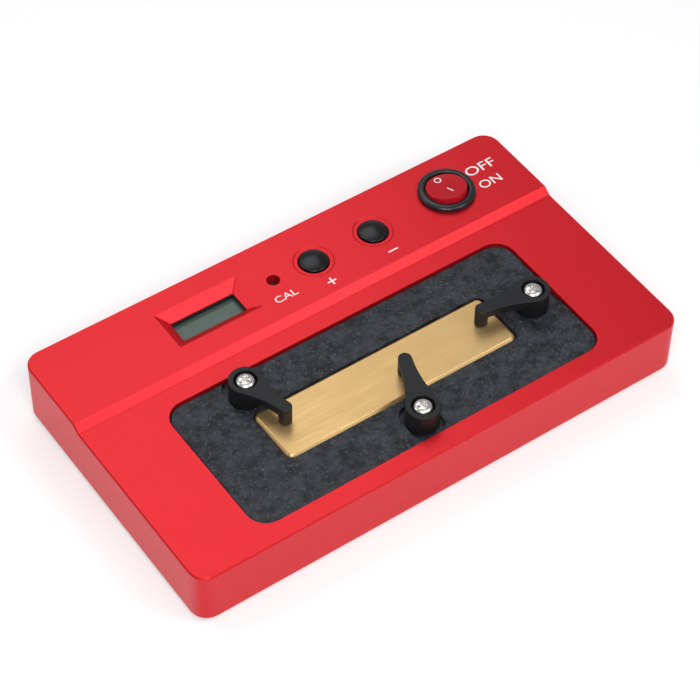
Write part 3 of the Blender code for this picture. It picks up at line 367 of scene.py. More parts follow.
def mouldedNylon():
    # glass filled nylon, moulded: black and dry, a little paler where the fibres lie at the surface
    constants = {"Specular IOR Level": 0.35}
    result, tree, shader = newMaterial("glass filled nylon, moulded", "#1c1d20", 0.48, 0.0, constants)
    place = addNode(tree, "ShaderNodeTexCoord").outputs["Object"]
    cloud = addNode(tree, "ShaderNodeTexNoise", None, {"Vector": place, "Scale": 1 / (2.6 * mm), "Detail": 2.0})
    colours = {0: cloud.outputs["Fac"], 6: hexColour("#0e0f11"), 7: hexColour("#1a1b1e")}
    tree.links.new(addNode(tree, "ShaderNodeMix", colourMix, colours).outputs[2],
                   shader.inputs["Base Color"])
    grain = addNode(tree, "ShaderNodeTexNoise", None, {"Vector": place, "Scale": 1 / (0.4 * mm), "Detail": 3.0})
    gloss = {"Value": grain.outputs["Fac"], "From Min": 0.3, "From Max": 0.7, "To Min": 0.46, "To Max": 0.62}
    tree.links.new(addNode(tree, "ShaderNodeMapRange", None, gloss).outputs["Result"], shader.inputs["Roughness"])
    relief = {"Height": grain.outputs["Fac"], "Distance": 0.03 * mm, "Strength": 0.4}
    tree.links.new(addNode(tree, "ShaderNodeBump", None, relief).outputs["Normal"], shader.inputs["Normal"])
    return result


def platedSteel():
    # screw steel, nickel plated: near mirror with a soft smear from the plating bath
    result, tree, shader = newMaterial("steel, nickel plated", "#e4e2de", 0.28, 1.0)
    place = addNode(tree, "ShaderNodeTexCoord").outputs["Object"]
    smear = addNode(tree, "ShaderNodeTexNoise", None, {"Vector": place, "Scale": 1 / (0.5 * mm), "Detail": 2.0})
    gloss = {"Value": smear.outputs["Fac"], "From Min": 0.3, "From Max": 0.7, "To Min": 0.2, "To Max": 0.34}
    tree.links.new(addNode(tree, "ShaderNodeMapRange", None, gloss).outputs["Result"], shader.inputs["Roughness"])
    return result


def zincSteel():
    # folded sheet and small screws, zinc plated: pale grey with a dull bloom
    result, tree, shader = newMaterial("steel, zinc plated", "#bfc0be", 0.34, 1.0)
    place = addNode(tree, "ShaderNodeTexCoord").outputs["Object"]
    bloom = addNode(tree, "ShaderNodeTexNoise", None, {"Vector": place, "Scale": 1 / (1.8 * mm), "Detail": 3.0})
    colours = {0: bloom.outputs["Fac"], 6: hexColour("#aeb0b0"), 7: hexColour("#cfcfcb")}
    tree.links.new(addNode(tree, "ShaderNodeMix", colourMix, colours).outputs[2],
                   shader.inputs["Base Color"])
    gloss = {"Value": bloom.outputs["Fac"], "From Min": 0.3, "From Max": 0.7, "To Min": 0.26, "To Max": 0.44}
    tree.links.new(addNode(tree, "ShaderNodeMapRange", None, gloss).outputs["Result"], shader.inputs["Roughness"])
    return result


def paintedSteel():
    # steel sheet, powder painted black: low sheen with the dimples of orange peel
    result, tree, shader = newMaterial("steel sheet, powder painted black", "#1d1e20", 0.5)
    place = addNode(tree, "ShaderNodeTexCoord").outputs["Object"]
    peel = addNode(tree, "ShaderNodeTexNoise", None, {"Vector": place, "Scale": 1 / (0.9 * mm), "Detail": 1.0})
    gloss = {"Value": peel.outputs["Fac"], "From Min": 0.3, "From Max": 0.7, "To Min": 0.44, "To Max": 0.58}
    tree.links.new(addNode(tree, "ShaderNodeMapRange", None, gloss).outputs["Result"], shader.inputs["Roughness"])
    relief = {"Height": peel.outputs["Fac"], "Distance": 0.05 * mm, "Strength": 0.6}
    tree.links.new(addNode(tree, "ShaderNodeBump", None, relief).outputs["Normal"], shader.inputs["Normal"])
    return result


def mouldedRubber():
    # rubber foot, pressed: dull black, faintly pitted
    result, tree, shader = newMaterial("rubber, moulded", "#161618", 0.85, 0.0, {"Specular IOR Level": 0.3})
    place = addNode(tree, "ShaderNodeTexCoord").outputs["Object"]
    pits = addNode(tree, "ShaderNodeTexNoise", None, {"Vector": place, "Scale": 1 / (0.4 * mm), "Detail": 2.0})
    gloss = {"Value": pits.outputs["Fac"], "From Min": 0.3, "From Max": 0.7, "To Min": 0.78, "To Max": 0.92}
    tree.links.new(addNode(tree, "ShaderNodeMapRange", None, gloss).outputs["Result"], shader.inputs["Roughness"])
    relief = {"Height": pits.outputs["Fac"], "Distance": 0.04 * mm, "Strength": 0.6}
    tree.links.new(addNode(tree, "ShaderNodeBump", None, relief).outputs["Normal"], shader.inputs["Normal"])
    return result


def polishedCap():
    # key cap, moulded in a polished tool: deep black with one clean soft highlight
    result, tree, shader = newMaterial("ABS, moulded and polished", "#08090c", 0.3, 0.0, {"Specular IOR Level": 0.4})
    place = addNode(tree, "ShaderNodeTexCoord").outputs["Object"]
    wear = addNode(tree, "ShaderNodeTexNoise", None, {"Vector": place, "Scale": 1 / (1.6 * mm), "Detail": 2.0})
    gloss = {"Value": wear.outputs["Fac"], "From Min": 0.3, "From Max": 0.7, "To Min": 0.26, "To Max": 0.34}
    tree.links.new(addNode(tree, "ShaderNodeMapRange", None, gloss).outputs["Result"], shader.inputs["Roughness"])
    return result


def satinBlack():
    # switch and inlet bodies, moulded nylon: blue black with a soft sheen on the rounded rim
    result, tree, shader = newMaterial("nylon, moulded satin", "#15181c", 0.3, 0.0, {"Specular IOR Level": 0.5})
    place = addNode(tree, "ShaderNodeTexCoord").outputs["Object"]
    grain = addNode(tree, "ShaderNodeTexNoise", None, {"Vector": place, "Scale": 1 / (0.4 * mm), "Detail": 2.0})
    gloss = {"Value": grain.outputs["Fac"], "From Min": 0.3, "From Max": 0.7, "To Min": 0.24, "To Max": 0.38}
    tree.links.new(addNode(tree, "ShaderNodeMapRange", None, gloss).outputs["Result"], shader.inputs["Roughness"])
    relief = {"Height": grain.outputs["Fac"], "Distance": 0.015 * mm, "Strength": 0.4}
    tree.links.new(addNode(tree, "ShaderNodeBump", None, relief).outputs["Normal"], shader.inputs["Normal"])
    return result


def rockerRed():
    # rocker, moulded polycarbonate dyed red: glossy, and light sinks a little way in
    constants = {"Subsurface Weight": 0.12, "Subsurface Radius": (0.0015, 0.0003, 0.0002), "Specular IOR Level": 0.3}
    result, tree, shader = newMaterial("polycarbonate, moulded red", "#b41120", 0.24, 0.0, constants)
    place = addNode(tree, "ShaderNodeTexCoord").outputs["Object"]
    wear = addNode(tree, "ShaderNodeTexNoise", None, {"Vector": place, "Scale": 1 / (1.5 * mm), "Detail": 2.0})
    gloss = {"Value": wear.outputs["Fac"], "From Min": 0.3, "From Max": 0.7, "To Min": 0.2, "To Max": 0.32}
    tree.links.new(addNode(tree, "ShaderNodeMapRange", None, gloss).outputs["Result"], shader.inputs["Roughness"])
    return result


def displayGlass():
    # unlit liquid crystal behind glass: grey green, under one smooth cool reflection
    result, tree, shader = newMaterial("liquid crystal under glass, unlit", "#42534b", 0.2, 0.0,
                                       {"Specular IOR Level": 0.35})
    place = addNode(tree, "ShaderNodeTexCoord").outputs["Object"]
    cloud = addNode(tree, "ShaderNodeTexNoise", None, {"Vector": place, "Scale": 1 / (8 * mm), "Detail": 1.0})
    colours = {0: cloud.outputs["Fac"], 6: hexColour("#3d4e46"), 7: hexColour("#465850")}
    tree.links.new(addNode(tree, "ShaderNodeMix", colourMix, colours).outputs[2],
                   shader.inputs["Base Color"])
    return result


def printedInk():
    # screen printed ink: flat white, a little thin in places
    result, tree, shader = newMaterial("screen printing ink, white", "#f3eeee", 0.6)
    place = addNode(tree, "ShaderNodeTexCoord").outputs["Object"]
    thin = addNode(tree, "ShaderNodeTexNoise", None, {"Vector": place, "Scale": 1 / (0.5 * mm), "Detail": 2.0})
    colours = {0: thin.outputs["Fac"], 6: hexColour("#ece2e2"), 7: hexColour("#f8f5f4")}
    tree.links.new(addNode(tree, "ShaderNodeMix", colourMix, colours).outputs[2],
                   shader.inputs["Base Color"])
    return result


def innerMaterial(name, colour, otherColour, roughness, grainSize, depth, metallic=0.0):
    # pieces inside the housing: two close shades in a grain of the real size, and a shallow relief
    result, tree, shader = newMaterial(name, colour, roughness, metallic)
    place = addNode(tree, "ShaderNodeTexCoord").outputs["Object"]
    grain = addNode(tree, "ShaderNodeTexNoise", None, {"Vector": place, "Scale": 1 / (grainSize * mm), "Detail": 2.0})
    colours = {0: grain.outputs["Fac"], 6: hexColour(colour), 7: hexColour(otherColour)}
    tree.links.new(addNode(tree, "ShaderNodeMix", colourMix, colours).outputs[2],
                   shader.inputs["Base Color"])
    relief = {"Height": grain.outputs["Fac"], "Distance": depth * mm, "Strength": 0.5}
    tree.links.new(addNode(tree, "ShaderNodeBump", None, relief).outputs["Normal"], shader.inputs["Normal"])
    return result


materialFor = {
    "red_anodised": anodisedRed(),
    "black_steel": paintedSteel(),
    "bare_steel": zincSteel(),
    "bright_steel": platedSteel(),
    "rubber": mouldedRubber(),
    "composite": milledComposite(),
    "gold_anodised": anodisedGold(),
    # chalk white with a fine sintered tooth
    "ceramic": innerMaterial("alumina, fired", "#e2dfd6", "#efece4", 0.55, 0.3, 0.01),
    # amber flakes pressed flat, a faint pearl on top
    "mica": innerMaterial("mica, pressed sheet", "#a8966f", "#c4b48c", 0.36, 1.8, 0.02),
    "clamp_plastic": mouldedNylon(),
    "gloss_black": polishedCap(),
    "matte_black": satinBlack(),
    "rocker_red": rockerRed(),
    # the weave of the glass shows faintly through the lacquer
    "circuit_board": innerMaterial("glass epoxy board, green lacquer", "#17532f", "#1f6239", 0.36, 0.7, 0.01),
    "display_glass": displayGlass(),
    # moulded reflector, slightly warm
    "white_plastic": innerMaterial("polycarbonate, moulded white", "#dededa", "#e9e9e5", 0.4, 0.6, 0.01),
    # black moulding compound with a matt tooth
    "chip": innerMaterial("epoxy, moulded black", "#141416", "#1e1e20", 0.6, 0.3, 0.015),
    # yellow box, filled with resin
    "capacitor": innerMaterial("polyester box, moulded yellow", "#c8a42a", "#d4b23a", 0.4, 0.6, 0.01),
    # clear tube over a pale core, with drawing lines
    "fuse": innerMaterial("glass, drawn", "#c9d3d3", "#dde4e4", 0.12, 1.2, 0.004),
    # tinned blades, a yellow tint where the tin is thin
    "brass": innerMaterial("brass, tin plated", "#b9a675", "#cfc098", 0.3, 0.5, 0.005, 1.0),
}
inkWhite = printedInk()
for nodeName, node in nodes.items():
    node.data.materials.clear()
    node.data.materials.append(materialFor[slotOf[nodeName]])
print("materials made")

# Frame solids that keep their shape and get smooth curves and eased edges

easedEdge = {"housing": 0.12, "insert": 0.15, "plate": 0.2, "clamp": 0.08, "basePlate": 0.2, "inlet": 0.2}

refineNode("housing", "housingShell", materialFor["red_anodised"], 13.0, easedEdge["housing"], 3, 40.0)
refineNode("insulating_insert", "insulatingInsert", materialFor["composite"], 35.0, easedEdge["insert"])
refineNode("heating_plate", "heatingPlate", materialFor["gold_anodised"], 30.0, easedEdge["plate"], 2, 40.0)
refineNode("base_plate", "basePlate", materialFor["black_steel"], 40.0, easedEdge["basePlate"])
for side in ("left", "front", "right"):
    refineNode("clamp_arm_" + side, "clampArm." + side, materialFor["clamp_plastic"], 32.0, easedEdge["clamp"])
for index in (1, 2, 3, 4):
    refineNode(f"foot_{index}", f"rubberFoot.{index}", materialFor["rubber"], 40.0)
refineNode("inlet_body", "mainsInlet", materialFor["matte_black"], 40.0, easedEdge["inlet"])
for index in (1, 2):
    refineNode(f"inlet_pin_{index}", f"mainsPin.{index}", materialFor["brass"], 40.0, 0.25)
refineNode("display_glass", "displayGlass", materialFor["display_glass"], 40.0)
print("frame solids refined")

# Screws and washers. One Geometry Nodes tree makes the pan heads, the other the countersunk ones.

clampScrew = {
    "Head Diameter": 5.8,
    "Head Height": 1.9,
    "Shank Diameter": 2.9,
    "Shank Length": 10.0,
    "Recess Length": 3.9,
    "Recess Width": 1.1,
    "Recess Depth": 1.4,
}
insertScrew = {
    "Head Diameter": 4.6,
    "Head Height": 1.6,
    "Shank Diameter": 2.4,
    "Shank Length": 6.0,
    "Recess Length": 2.6,
    "Recess Width": 0.6,
    "Recess Depth": 1.0,
}
trayScrew = dict(insertScrew, **{"Shank Length": 5.0})
baseScrew = {
    "Head Diameter": 5.6,
    "Head Height": 1.45,
    "Shank Diameter": 2.9,
    "Shank Length": 8.0,
    "Recess Length": 3.2,
    "Recess Width": 0.75,
    "Recess Depth": 1.1,
}
clampScrewTurns = {"left": 11.0, "front": -7.0, "right": 14.0}
recessWing = {"mouth": 0.85, "tip": 0.34, "height": 1.4}
domeCurve = {"rings": 14, "turn": 0.985, "reach": 0.55, "rise": 0.85}


def newScrewTree(name):
    tree = bpy.data.node_groups.new(name, "GeometryNodeTree")
    tree.is_modifier = True
    sockets = tree.interface
    sockets.new_socket("Geometry", in_out="INPUT", socket_type="NodeSocketGeometry")
    for label in clampScrew:
        sockets.new_socket(label, in_out="INPUT", socket_type="NodeSocketFloat")
    sockets.new_socket("Head Down", in_out="INPUT", socket_type="NodeSocketFloat")
    sockets.new_socket("Material", in_out="INPUT", socket_type="NodeSocketMaterial")
    sockets.new_socket("Geometry", in_out="OUTPUT", socket_type="NodeSocketGeometry")
    return tree, addNode(tree, "NodeGroupInput").outputs


def finishScrewTree(tree, sizes, head, headTop):
    # the shank is joined on, the cross recess is cut, and one screw goes to each point
    radius = addNode(tree, "ShaderNodeMath", multiply, {0: sizes["Shank Diameter"], 1: 0.5})
    shank = addNode(tree, "GeometryNodeMeshCylinder", None,
                    {"Vertices": 32, "Radius": radius.outputs[0], "Depth": sizes["Shank Length"]})
    drop = addNode(tree, "ShaderNodeMath", {"operation": "MULTIPLY_ADD"},
                   {0: sizes["Shank Length"], 1: -0.5, 2: 0.05 * mm})
    below = addNode(tree, "ShaderNodeCombineXYZ", None, {"Z": drop.outputs[0]})
    hung = addNode(tree, "GeometryNodeTransform", None,
                   {"Geometry": shank.outputs["Mesh"], "Translation": below.outputs[0]})
    whole = addNode(tree, "GeometryNodeMeshBoolean", {"operation": "UNION", "solver": "EXACT"},
                    {1: [head, hung.outputs[0]]})
    # each wing of the recess is a flat wedge, narrower at its bottom, and reaches above the head
    mouth = addNode(tree, "ShaderNodeMath", multiply, {0: sizes["Recess Length"], 1: recessWing["mouth"]})
    tip = addNode(tree, "ShaderNodeMath", multiply, {0: sizes["Recess Length"], 1: recessWing["tip"]})
    wedge = addNode(tree, "GeometryNodeMeshCone", None, {
        "Vertices": 4,
        "Radius Top": mouth.outputs[0],
        "Radius Bottom": tip.outputs[0],
        "Depth": addNode(tree, "ShaderNodeMath", multiply,
                         {0: sizes["Recess Depth"], 1: recessWing["height"]}).outputs[0],
    })
    square = addNode(tree, "GeometryNodeTransform", None,
                     {"Geometry": wedge.outputs["Mesh"], "Rotation": (0.0, 0.0, math.pi / 4)})
    thin = addNode(tree, "ShaderNodeMath", {"operation": "DIVIDE"},
                   {0: sizes["Recess Width"], 1: sizes["Recess Length"]})
    flat = addNode(tree, "ShaderNodeCombineXYZ", None, {"X": 1.0, "Y": thin.outputs[0], "Z": 1.0})
    depth = addNode(tree, "ShaderNodeMath", {"operation": "SUBTRACT"}, {0: headTop, 1: sizes["Recess Depth"]})
    sunk = addNode(tree, "ShaderNodeCombineXYZ", None, {"Z": depth.outputs[0]})
    firstWing = addNode(tree, "GeometryNodeTransform", None,
                        {"Geometry": square.outputs[0], "Translation": sunk.outputs[0], "Scale": flat.outputs[0]})
    secondWing = addNode(tree, "GeometryNodeTransform", None,
                         {"Geometry": firstWing.outputs[0], "Rotation": (0.0, 0.0, math.pi / 2)})
    screw = addNode(tree, "GeometryNodeMeshBoolean", {"operation": "DIFFERENCE", "solver": "EXACT"},
                    {0: whole.outputs["Mesh"], 1: [firstWing.outputs[0], secondWing.outputs[0]]})
    flip = addNode(tree, "ShaderNodeMath", multiply, {0: sizes["Head Down"], 1: math.pi})
    turn = addNode(tree, "GeometryNodeInputNamedAttribute", {"data_type": "FLOAT"}, {"Name": "turn"})
    stance = addNode(tree, "ShaderNodeCombineXYZ", None, {"X": flip.outputs[0], "Z": turn.outputs["Attribute"]})
    placed = addNode(tree, "GeometryNodeInstanceOnPoints", None, {
        "Points": sizes["Geometry"],
        "Instance": screw.outputs["Mesh"],
        "Rotation": stance.outputs[0],
    })
    real = addNode(tree, "GeometryNodeRealizeInstances", None, {"Geometry": placed.outputs["Instances"]})
    dressed = addNode(tree, "GeometryNodeSetMaterial", None,
                      {"Geometry": real.outputs["Geometry"], "Material": sizes["Material"]})
    addNode(tree, "NodeGroupOutput", None, {"Geometry": dressed.outputs["Geometry"]})
    return tree


def panScrewTree():
    # the head is a stack of rings: their reach and rise follow one quarter turn, squared off a little
    tree, sizes = newScrewTree("panScrew")
    rings = domeCurve["rings"]
    step = addNode(tree, "GeometryNodeInputIndex")
    turn = addNode(tree, "ShaderNodeMath", multiply,
                   {0: step.outputs[0], 1: domeCurve["turn"] * math.pi / 2 / (rings - 1)})
    cosine = addNode(tree, "ShaderNodeMath", {"operation": "COSINE"}, {0: turn.outputs[0]})
    reach = addNode(tree, "ShaderNodeMath", {"operation": "POWER"}, {0: cosine.outputs[0], 1: domeCurve["reach"]})
    sine = addNode(tree, "ShaderNodeMath", {"operation": "SINE"}, {0: turn.outputs[0]})
    rise = addNode(tree, "ShaderNodeMath", {"operation": "POWER"}, {0: sine.outputs[0], 1: domeCurve["rise"]})
    height = addNode(tree, "ShaderNodeMath", multiply,
                     {0: rise.outputs[0], 1: sizes["Head Height"]})
    line = addNode(tree, "GeometryNodeCurvePrimitiveLine", None, {"End": (0.0, 0.0, mm)})
    spine = addNode(tree, "GeometryNodeResampleCurve", None, {"Curve": line.outputs[0], "Count": rings})
    lifted = addNode(tree, "ShaderNodeCombineXYZ", None, {"Z": height.outputs[0]})
    spread = addNode(tree, "GeometryNodeSetPosition", None,
                     {"Geometry": spine.outputs[0], "Position": lifted.outputs[0]})
    radius = addNode(tree, "ShaderNodeMath", multiply, {0: sizes["Head Diameter"], 1: 0.5})
    rim = addNode(tree, "GeometryNodeCurvePrimitiveCircle", None, {"Resolution": 64, "Radius": radius.outputs[0]})
    head = addNode(tree, "GeometryNodeCurveToMesh", None, {
        "Curve": spread.outputs[0],
        "Profile Curve": rim.outputs[0],
        "Scale": reach.outputs[0],
        "Fill Caps": True,
    })
    return finishScrewTree(tree, sizes, head.outputs[0], sizes["Head Height"])


def countersunkScrewTree():
    # the cone stands under the flat face, which is at height nought
    tree, sizes = newScrewTree("countersunkScrew")
    wide = addNode(tree, "ShaderNodeMath", multiply, {0: sizes["Head Diameter"], 1: 0.5})
    narrow = addNode(tree, "ShaderNodeMath", multiply, {0: sizes["Shank Diameter"], 1: 0.5})
    cone = addNode(tree, "GeometryNodeMeshCone", None, {
        "Vertices": 48,
        "Radius Top": wide.outputs[0],
        "Radius Bottom": narrow.outputs[0],
        "Depth": sizes["Head Height"],
    })
    drop = addNode(tree, "ShaderNodeMath", multiply, {0: sizes["Head Height"], 1: -1.0})
    below = addNode(tree, "ShaderNodeCombineXYZ", None, {"Z": drop.outputs[0]})
    head = addNode(tree, "GeometryNodeTransform", None,
                   {"Geometry": cone.outputs["Mesh"], "Translation": below.outputs[0]})
    return finishScrewTree(tree, sizes, head.outputs[0], 0.0)


def addScrews(name, tree, sizes, spots, turns, headDown, material, slotName, nodeNames):
    # spots are where the head seats, in millimetres
    mesh = bpy.data.meshes.new(name + "Spots")
    mesh.from_pydata([tuple(Vector(spot) * mm) for spot in spots], [], [])
    turned = mesh.attributes.new("turn", "FLOAT", "POINT")
    for index, turn in enumerate(turns):
        turned.data[index].value = math.radians(turn)
    piece = bpy.data.objects.new(name, mesh)
    bpy.context.scene.collection.objects.link(piece)
    modifier = piece.modifiers.new("screws", "NODES")
    modifier.node_group = tree
    wanted = {label: size * mm for label, size in sizes.items()}
    wanted.update({"Head Down": float(headDown), "Material": material})
    for socket in tree.interface.items_tree:
        if socket.in_out == "INPUT" and socket.name in wanted:
            modifier[socket.identifier] = wanted[socket.name]
    flatten(piece)
    piece.data.shade_smooth()
    finishPiece(piece, "chassis", slotName, *nodeNames, sharpAngle=32.0)


def seatsUnder(names, rise):
    spots = []
    for nodeName in names:
        low, high, middle = boxOf(nodeName)
        spots.append((middle.x, middle.y, rise(low, high)))
    return spots


panTree = panScrewTree()
flatTree = countersunkScrewTree()
sides = ("left", "front", "right")
clampNames = ["clamp_screw_" + side for side in sides]
addScrews("clampScrews", panTree, clampScrew,
          seatsUnder(clampNames, lambda low, high: high.z - clampScrew["Head Height"]),
          [clampScrewTurns[side] for side in sides], False, materialFor["bright_steel"], "bright_steel", clampNames)
hiddenScrews = (("insertScrews", "insert_screw_", 4, insertScrew, panTree),
                ("boardScrews", "board_screw_", 4, insertScrew, panTree),
                ("trayScrews", "tray_screw_", 2, trayScrew, panTree),
                ("baseScrews", "base_screw_", 4, baseScrew, flatTree))
for name, stem, count, sizes, tree in hiddenScrews:
    names = [f"{stem}{index}" for index in range(1, count + 1)]
    headSeat = 0.0 if tree is flatTree else sizes["Head Height"]
    spots = seatsUnder(names, lambda low, high: low.z + headSeat)
    addScrews(name, tree, sizes, spots, [17.0 + 34.0 * index for index in range(count)], True,
              materialFor["bare_steel"], "bare_steel", names)
print("screws made")

washer = {"diameter": 5.8, "hole": 3.5, "edge": 0.12, "count": 72}
for side in sides:
    low, high, middle = boxOf("clamp_washer_" + side)
    outer, inner, edge = washer["diameter"] / 2, washer["hole"] / 2, washer["edge"]
    profile = [(inner, low.z), (outer - edge, low.z), (outer, low.z + edge), (outer, high.z - edge),
               (outer - edge, high.z), (inner, high.z)]
    ring = newPiece("clampWasher." + side, turnProfile(profile, washer["count"]), materialFor["bright_steel"],
                    Matrix.Translation((middle.x, middle.y, 0.0)))
    finishPiece(ring, "chassis", "bright_steel", "clamp_washer_" + side)
print("washers made")

# Keys: a collar under the panel and a turned dome with a soft shoulder above it

keyCap = {"diameter": 8.7, "dome": 1.1, "stand": 0.1, "shoulder": 0.4, "collar": 10.8, "collarHeight": 1.2,
          "count": 112}
for name in ("plus", "minus"):
    low, high, middle = boxOf(name + "_key")
    radius, dome, shoulder = keyCap["diameter"] / 2, keyCap["dome"], keyCap["shoulder"]
    sphere = (radius ** 2 + dome ** 2) / (2 * dome)
    brim = high.z - dome
    collarTop = low.z + keyCap["collarHeight"]
    profile = [(0.0, low.z), (keyCap["collar"] / 2, low.z), (keyCap["collar"] / 2, collarTop), (radius, collarTop)]
    profile.append((radius, brim - keyCap["stand"]))
    for step in range(1, 6):
        turn = step * math.pi / 12
        profile.append((radius - shoulder * (1 - math.cos(turn)), brim - keyCap["stand"] + shoulder * math.sin(turn)))
    reach, start = profile[-1]
    base = math.sqrt(sphere ** 2 - reach ** 2)
    for step in range(1, 13):
        ring = reach * (1 - step / 12)
        share = (math.sqrt(sphere ** 2 - ring ** 2) - base) / (sphere - base)
        profile.append((ring, start + (high.z - start) * share))
    cap = newPiece(name + "Key", turnProfile(profile, keyCap["count"]), materialFor["gloss_black"],
                   Matrix.Translation((middle.x, middle.y, 0.0)), 60.0)
    finishPiece(cap, name + "_button", "gloss_black", name + "_key")
print("keys made")

# Power switch: a turned bezel, the rocker tilted on its pins and the two marks on its dished face

powerSwitch = {
    "flange": 17.1,
    "barrel": 14.6,
    "crown": 1.9,
    "rim": 0.9,
    "bowl": 6.5,
    "bowlDepth": 5.2,
    "rocker": 6.2,
    "face": 6.0,
    "bottom": 3.0,
    "dish": 0.35,
    "pivotRise": 0.8,
    "tilt": -10.0,
    "pin": 1.1,
    "pinReach": 6.75,
    "count": 112,
    "shoulder": 1.45,
    "lip": 0.3,
    "edgeReach": 0.08,
    "edgeDrop": 0.12,
    "faceMargin": 0.06,
    "pinClearance": 0.3,
}
panelTop = boxOf("housing")[1].z


def switchPlace(turned=True):
    middle = boxOf("switch_body")[2]
    place = Matrix.Translation((middle.x, middle.y, panelTop + powerSwitch["pivotRise"]))
    return place @ Matrix.Rotation(math.radians(powerSwitch["tilt"] if turned else 0.0), 4, "X")


def faceHeight(x, y):
    # height of the rocker's dished face above its pivot
    edge = math.sqrt(powerSwitch["rocker"] ** 2 - powerSwitch["face"] ** 2)
    share = min(math.hypot(x, y) / powerSwitch["face"], 1.0)
    return edge - powerSwitch["dish"] * (1 - share ** 2)


def pinTool(radius, reach, place):
    builder = liftOutline(circlePoints(radius, 32), -reach, reach)
    bmesh.ops.transform(builder, matrix=Matrix.Rotation(math.pi / 2, 4, "Y"), verts=builder.verts)
    return newPiece("pinTool", builder, materialFor["matte_black"], place)


def addBezel():
    rise = powerSwitch["pivotRise"]
    low = boxOf("switch_body")[0].z - panelTop - rise
    lip, clear = powerSwitch["lip"], powerSwitch["pinClearance"]
    seat, crown = lip - rise, powerSwitch["crown"] - rise
    flange, rim, bowl = powerSwitch["flange"] / 2, powerSwitch["rim"], powerSwitch["bowl"]
    profile = [(0.0, low), (powerSwitch["barrel"] / 2, low), (powerSwitch["barrel"] / 2, seat), (flange, seat)]
    profile.append((flange, crown - rim))
    for step in range(1, 9):  # the rim falls off in a rounded shoulder
        turn = step * math.pi / 16
        fall = powerSwitch["shoulder"] * rim * (1 - math.cos(turn))
        profile.append((flange - fall, crown - rim + rim * math.sin(turn)))
    for step in range(1, 5):
        turn = step * math.pi / 8
        profile.append((bowl + lip - lip * math.sin(turn), crown - lip + lip * math.cos(turn)))
    profile += [(bowl, -powerSwitch["bowlDepth"]), (0.0, -powerSwitch["bowlDepth"])]
    bezel = newPiece("switchBezel", turnProfile(profile, powerSwitch["count"]), materialFor["matte_black"],
                     switchPlace(False), 40.0)
    combine(bezel, pinTool(powerSwitch["pin"] / 2 + clear, powerSwitch["pinReach"] + clear, switchPlace(False)),
            "DIFFERENCE")
    finishPiece(bezel, "chassis", "matte_black", "switch_body", sharpAngle=40.0)


def addRocker():
    radius, bottom, face = powerSwitch["rocker"], powerSwitch["bottom"], powerSwitch["face"]
    lowTurn, highTurn = -math.asin(bottom / radius), math.acos(face / radius)
    profile = [(0.0, -bottom)]
    for step in range(15):
        turn = lowTurn + (highTurn - lowTurn) * step / 14
        profile.append((radius * math.cos(turn), radius * math.sin(turn)))
    # the moulded edge is eased
    profile[-1] = (face + powerSwitch["edgeReach"], profile[-1][1] - powerSwitch["edgeDrop"])
    for step in range(13):
        reach = (face - powerSwitch["faceMargin"]) * (1 - step / 12)
        profile.append((reach, faceHeight(reach, 0.0)))
    rocker = newPiece("switchRocker", turnProfile(profile, powerSwitch["count"]), materialFor["rocker_red"],
                      switchPlace(), 40.0)
    combine(rocker, pinTool(powerSwitch["pin"] / 2, powerSwitch["pinReach"], switchPlace()), "UNION")
    finishPiece(rocker, "power_rocker", "rocker_red", "rocker", sharpAngle=40.0)


rockerMarks = {"ring": 2.2, "stroke": 0.32, "ringSpot": (-0.13, 4.1), "bar": 2.4, "barSpot": (0.26, -1.6),
               "lean": -12.0, "ink": 0.03}


def addRockerMarks():
    ink = rockerMarks["ink"]
    builder = bmesh.new()
    outer = circlePoints(rockerMarks["ring"] / 2, 64, rockerMarks["ringSpot"])
    inner = circlePoints(rockerMarks["ring"] / 2 - rockerMarks["stroke"], 64, rockerMarks["ringSpot"])
    liftRing(outer, inner, lambda x, y: faceHeight(x, y) - ink, lambda x, y: faceHeight(x, y) + ink, builder)
    lean = math.radians(rockerMarks["lean"])
    half, reach = rockerMarks["stroke"] / 2, rockerMarks["bar"] / 2
    outline = []
    for x, y in ((-half, -reach), (half, -reach), (half, reach), (-half, reach)):
        outline.append((rockerMarks["barSpot"][0] + x * math.cos(lean) + y * math.sin(lean),
                        rockerMarks["barSpot"][1] - x * math.sin(lean) + y * math.cos(lean)))
    liftOutline(outline, lambda x, y: faceHeight(x, y) - ink, lambda x, y: faceHeight(x, y) + ink, builder)
    marks = newPiece("rockerMarks", builder, inkWhite, switchPlace())
    finishPiece(marks, "power_rocker", "white_plastic")


addBezel()
addRocker()
addRockerMarks()
print("power switch made")

# Display walls, painted shade: a thin black sheet on the walls between the glass and the slanted sides, darkening
# them as if in shade

shadeSheet = {"low": (-38.4, 27.3), "high": (-17.6, 34.7), "corner": 0.43, "wall": 0.12, "rise": 1.4}


def shadeSheetOutline(inset):
    outline = []
    radius = shadeSheet["corner"] - inset
    for quarter, (x, y) in enumerate(((1, 1), (0, 1), (0, 0), (1, 0))):
        centre = [(shadeSheet["low"][axis] + shadeSheet["corner"], shadeSheet["high"][axis] - shadeSheet["corner"])[side]
                  for axis, side in ((0, x), (1, y))]
        for step in range(9):
            turn = (quarter + step / 8) * math.pi / 2
            outline.append((centre[0] + radius * math.cos(turn), centre[1] + radius * math.sin(turn)))
    return outline


glassTop = boxOf("display_glass")[1].z
# the black sheet paints the shade on the throat walls
builder = liftRing(shadeSheetOutline(0.0), shadeSheetOutline(shadeSheet["wall"]), glassTop, glassTop + shadeSheet["rise"])
finishPiece(newPiece("displayPaintedShade", builder, materialFor["matte_black"]), "chassis", "matte_black")
print("display liner made")

# Legends: printed words and signs, each fitted into the box it takes on the panel

legends = {
    "off": {"words": "OFF", "box": (63.6, 32.2, 73.6, 35.6)},
    "on": {"words": "ON", "box": (64.0, 26.0, 71.3, 29.1)},
    "cal": {"words": "CAL", "box": (-10.5, 22.4, -3.3, 24.8)},
}
signs = {"plus": (6.95, 21.0), "minus": (28.15, 21.05)}
signSize = {"length": 2.8, "stroke": 0.45}
inkLayer = 0.015


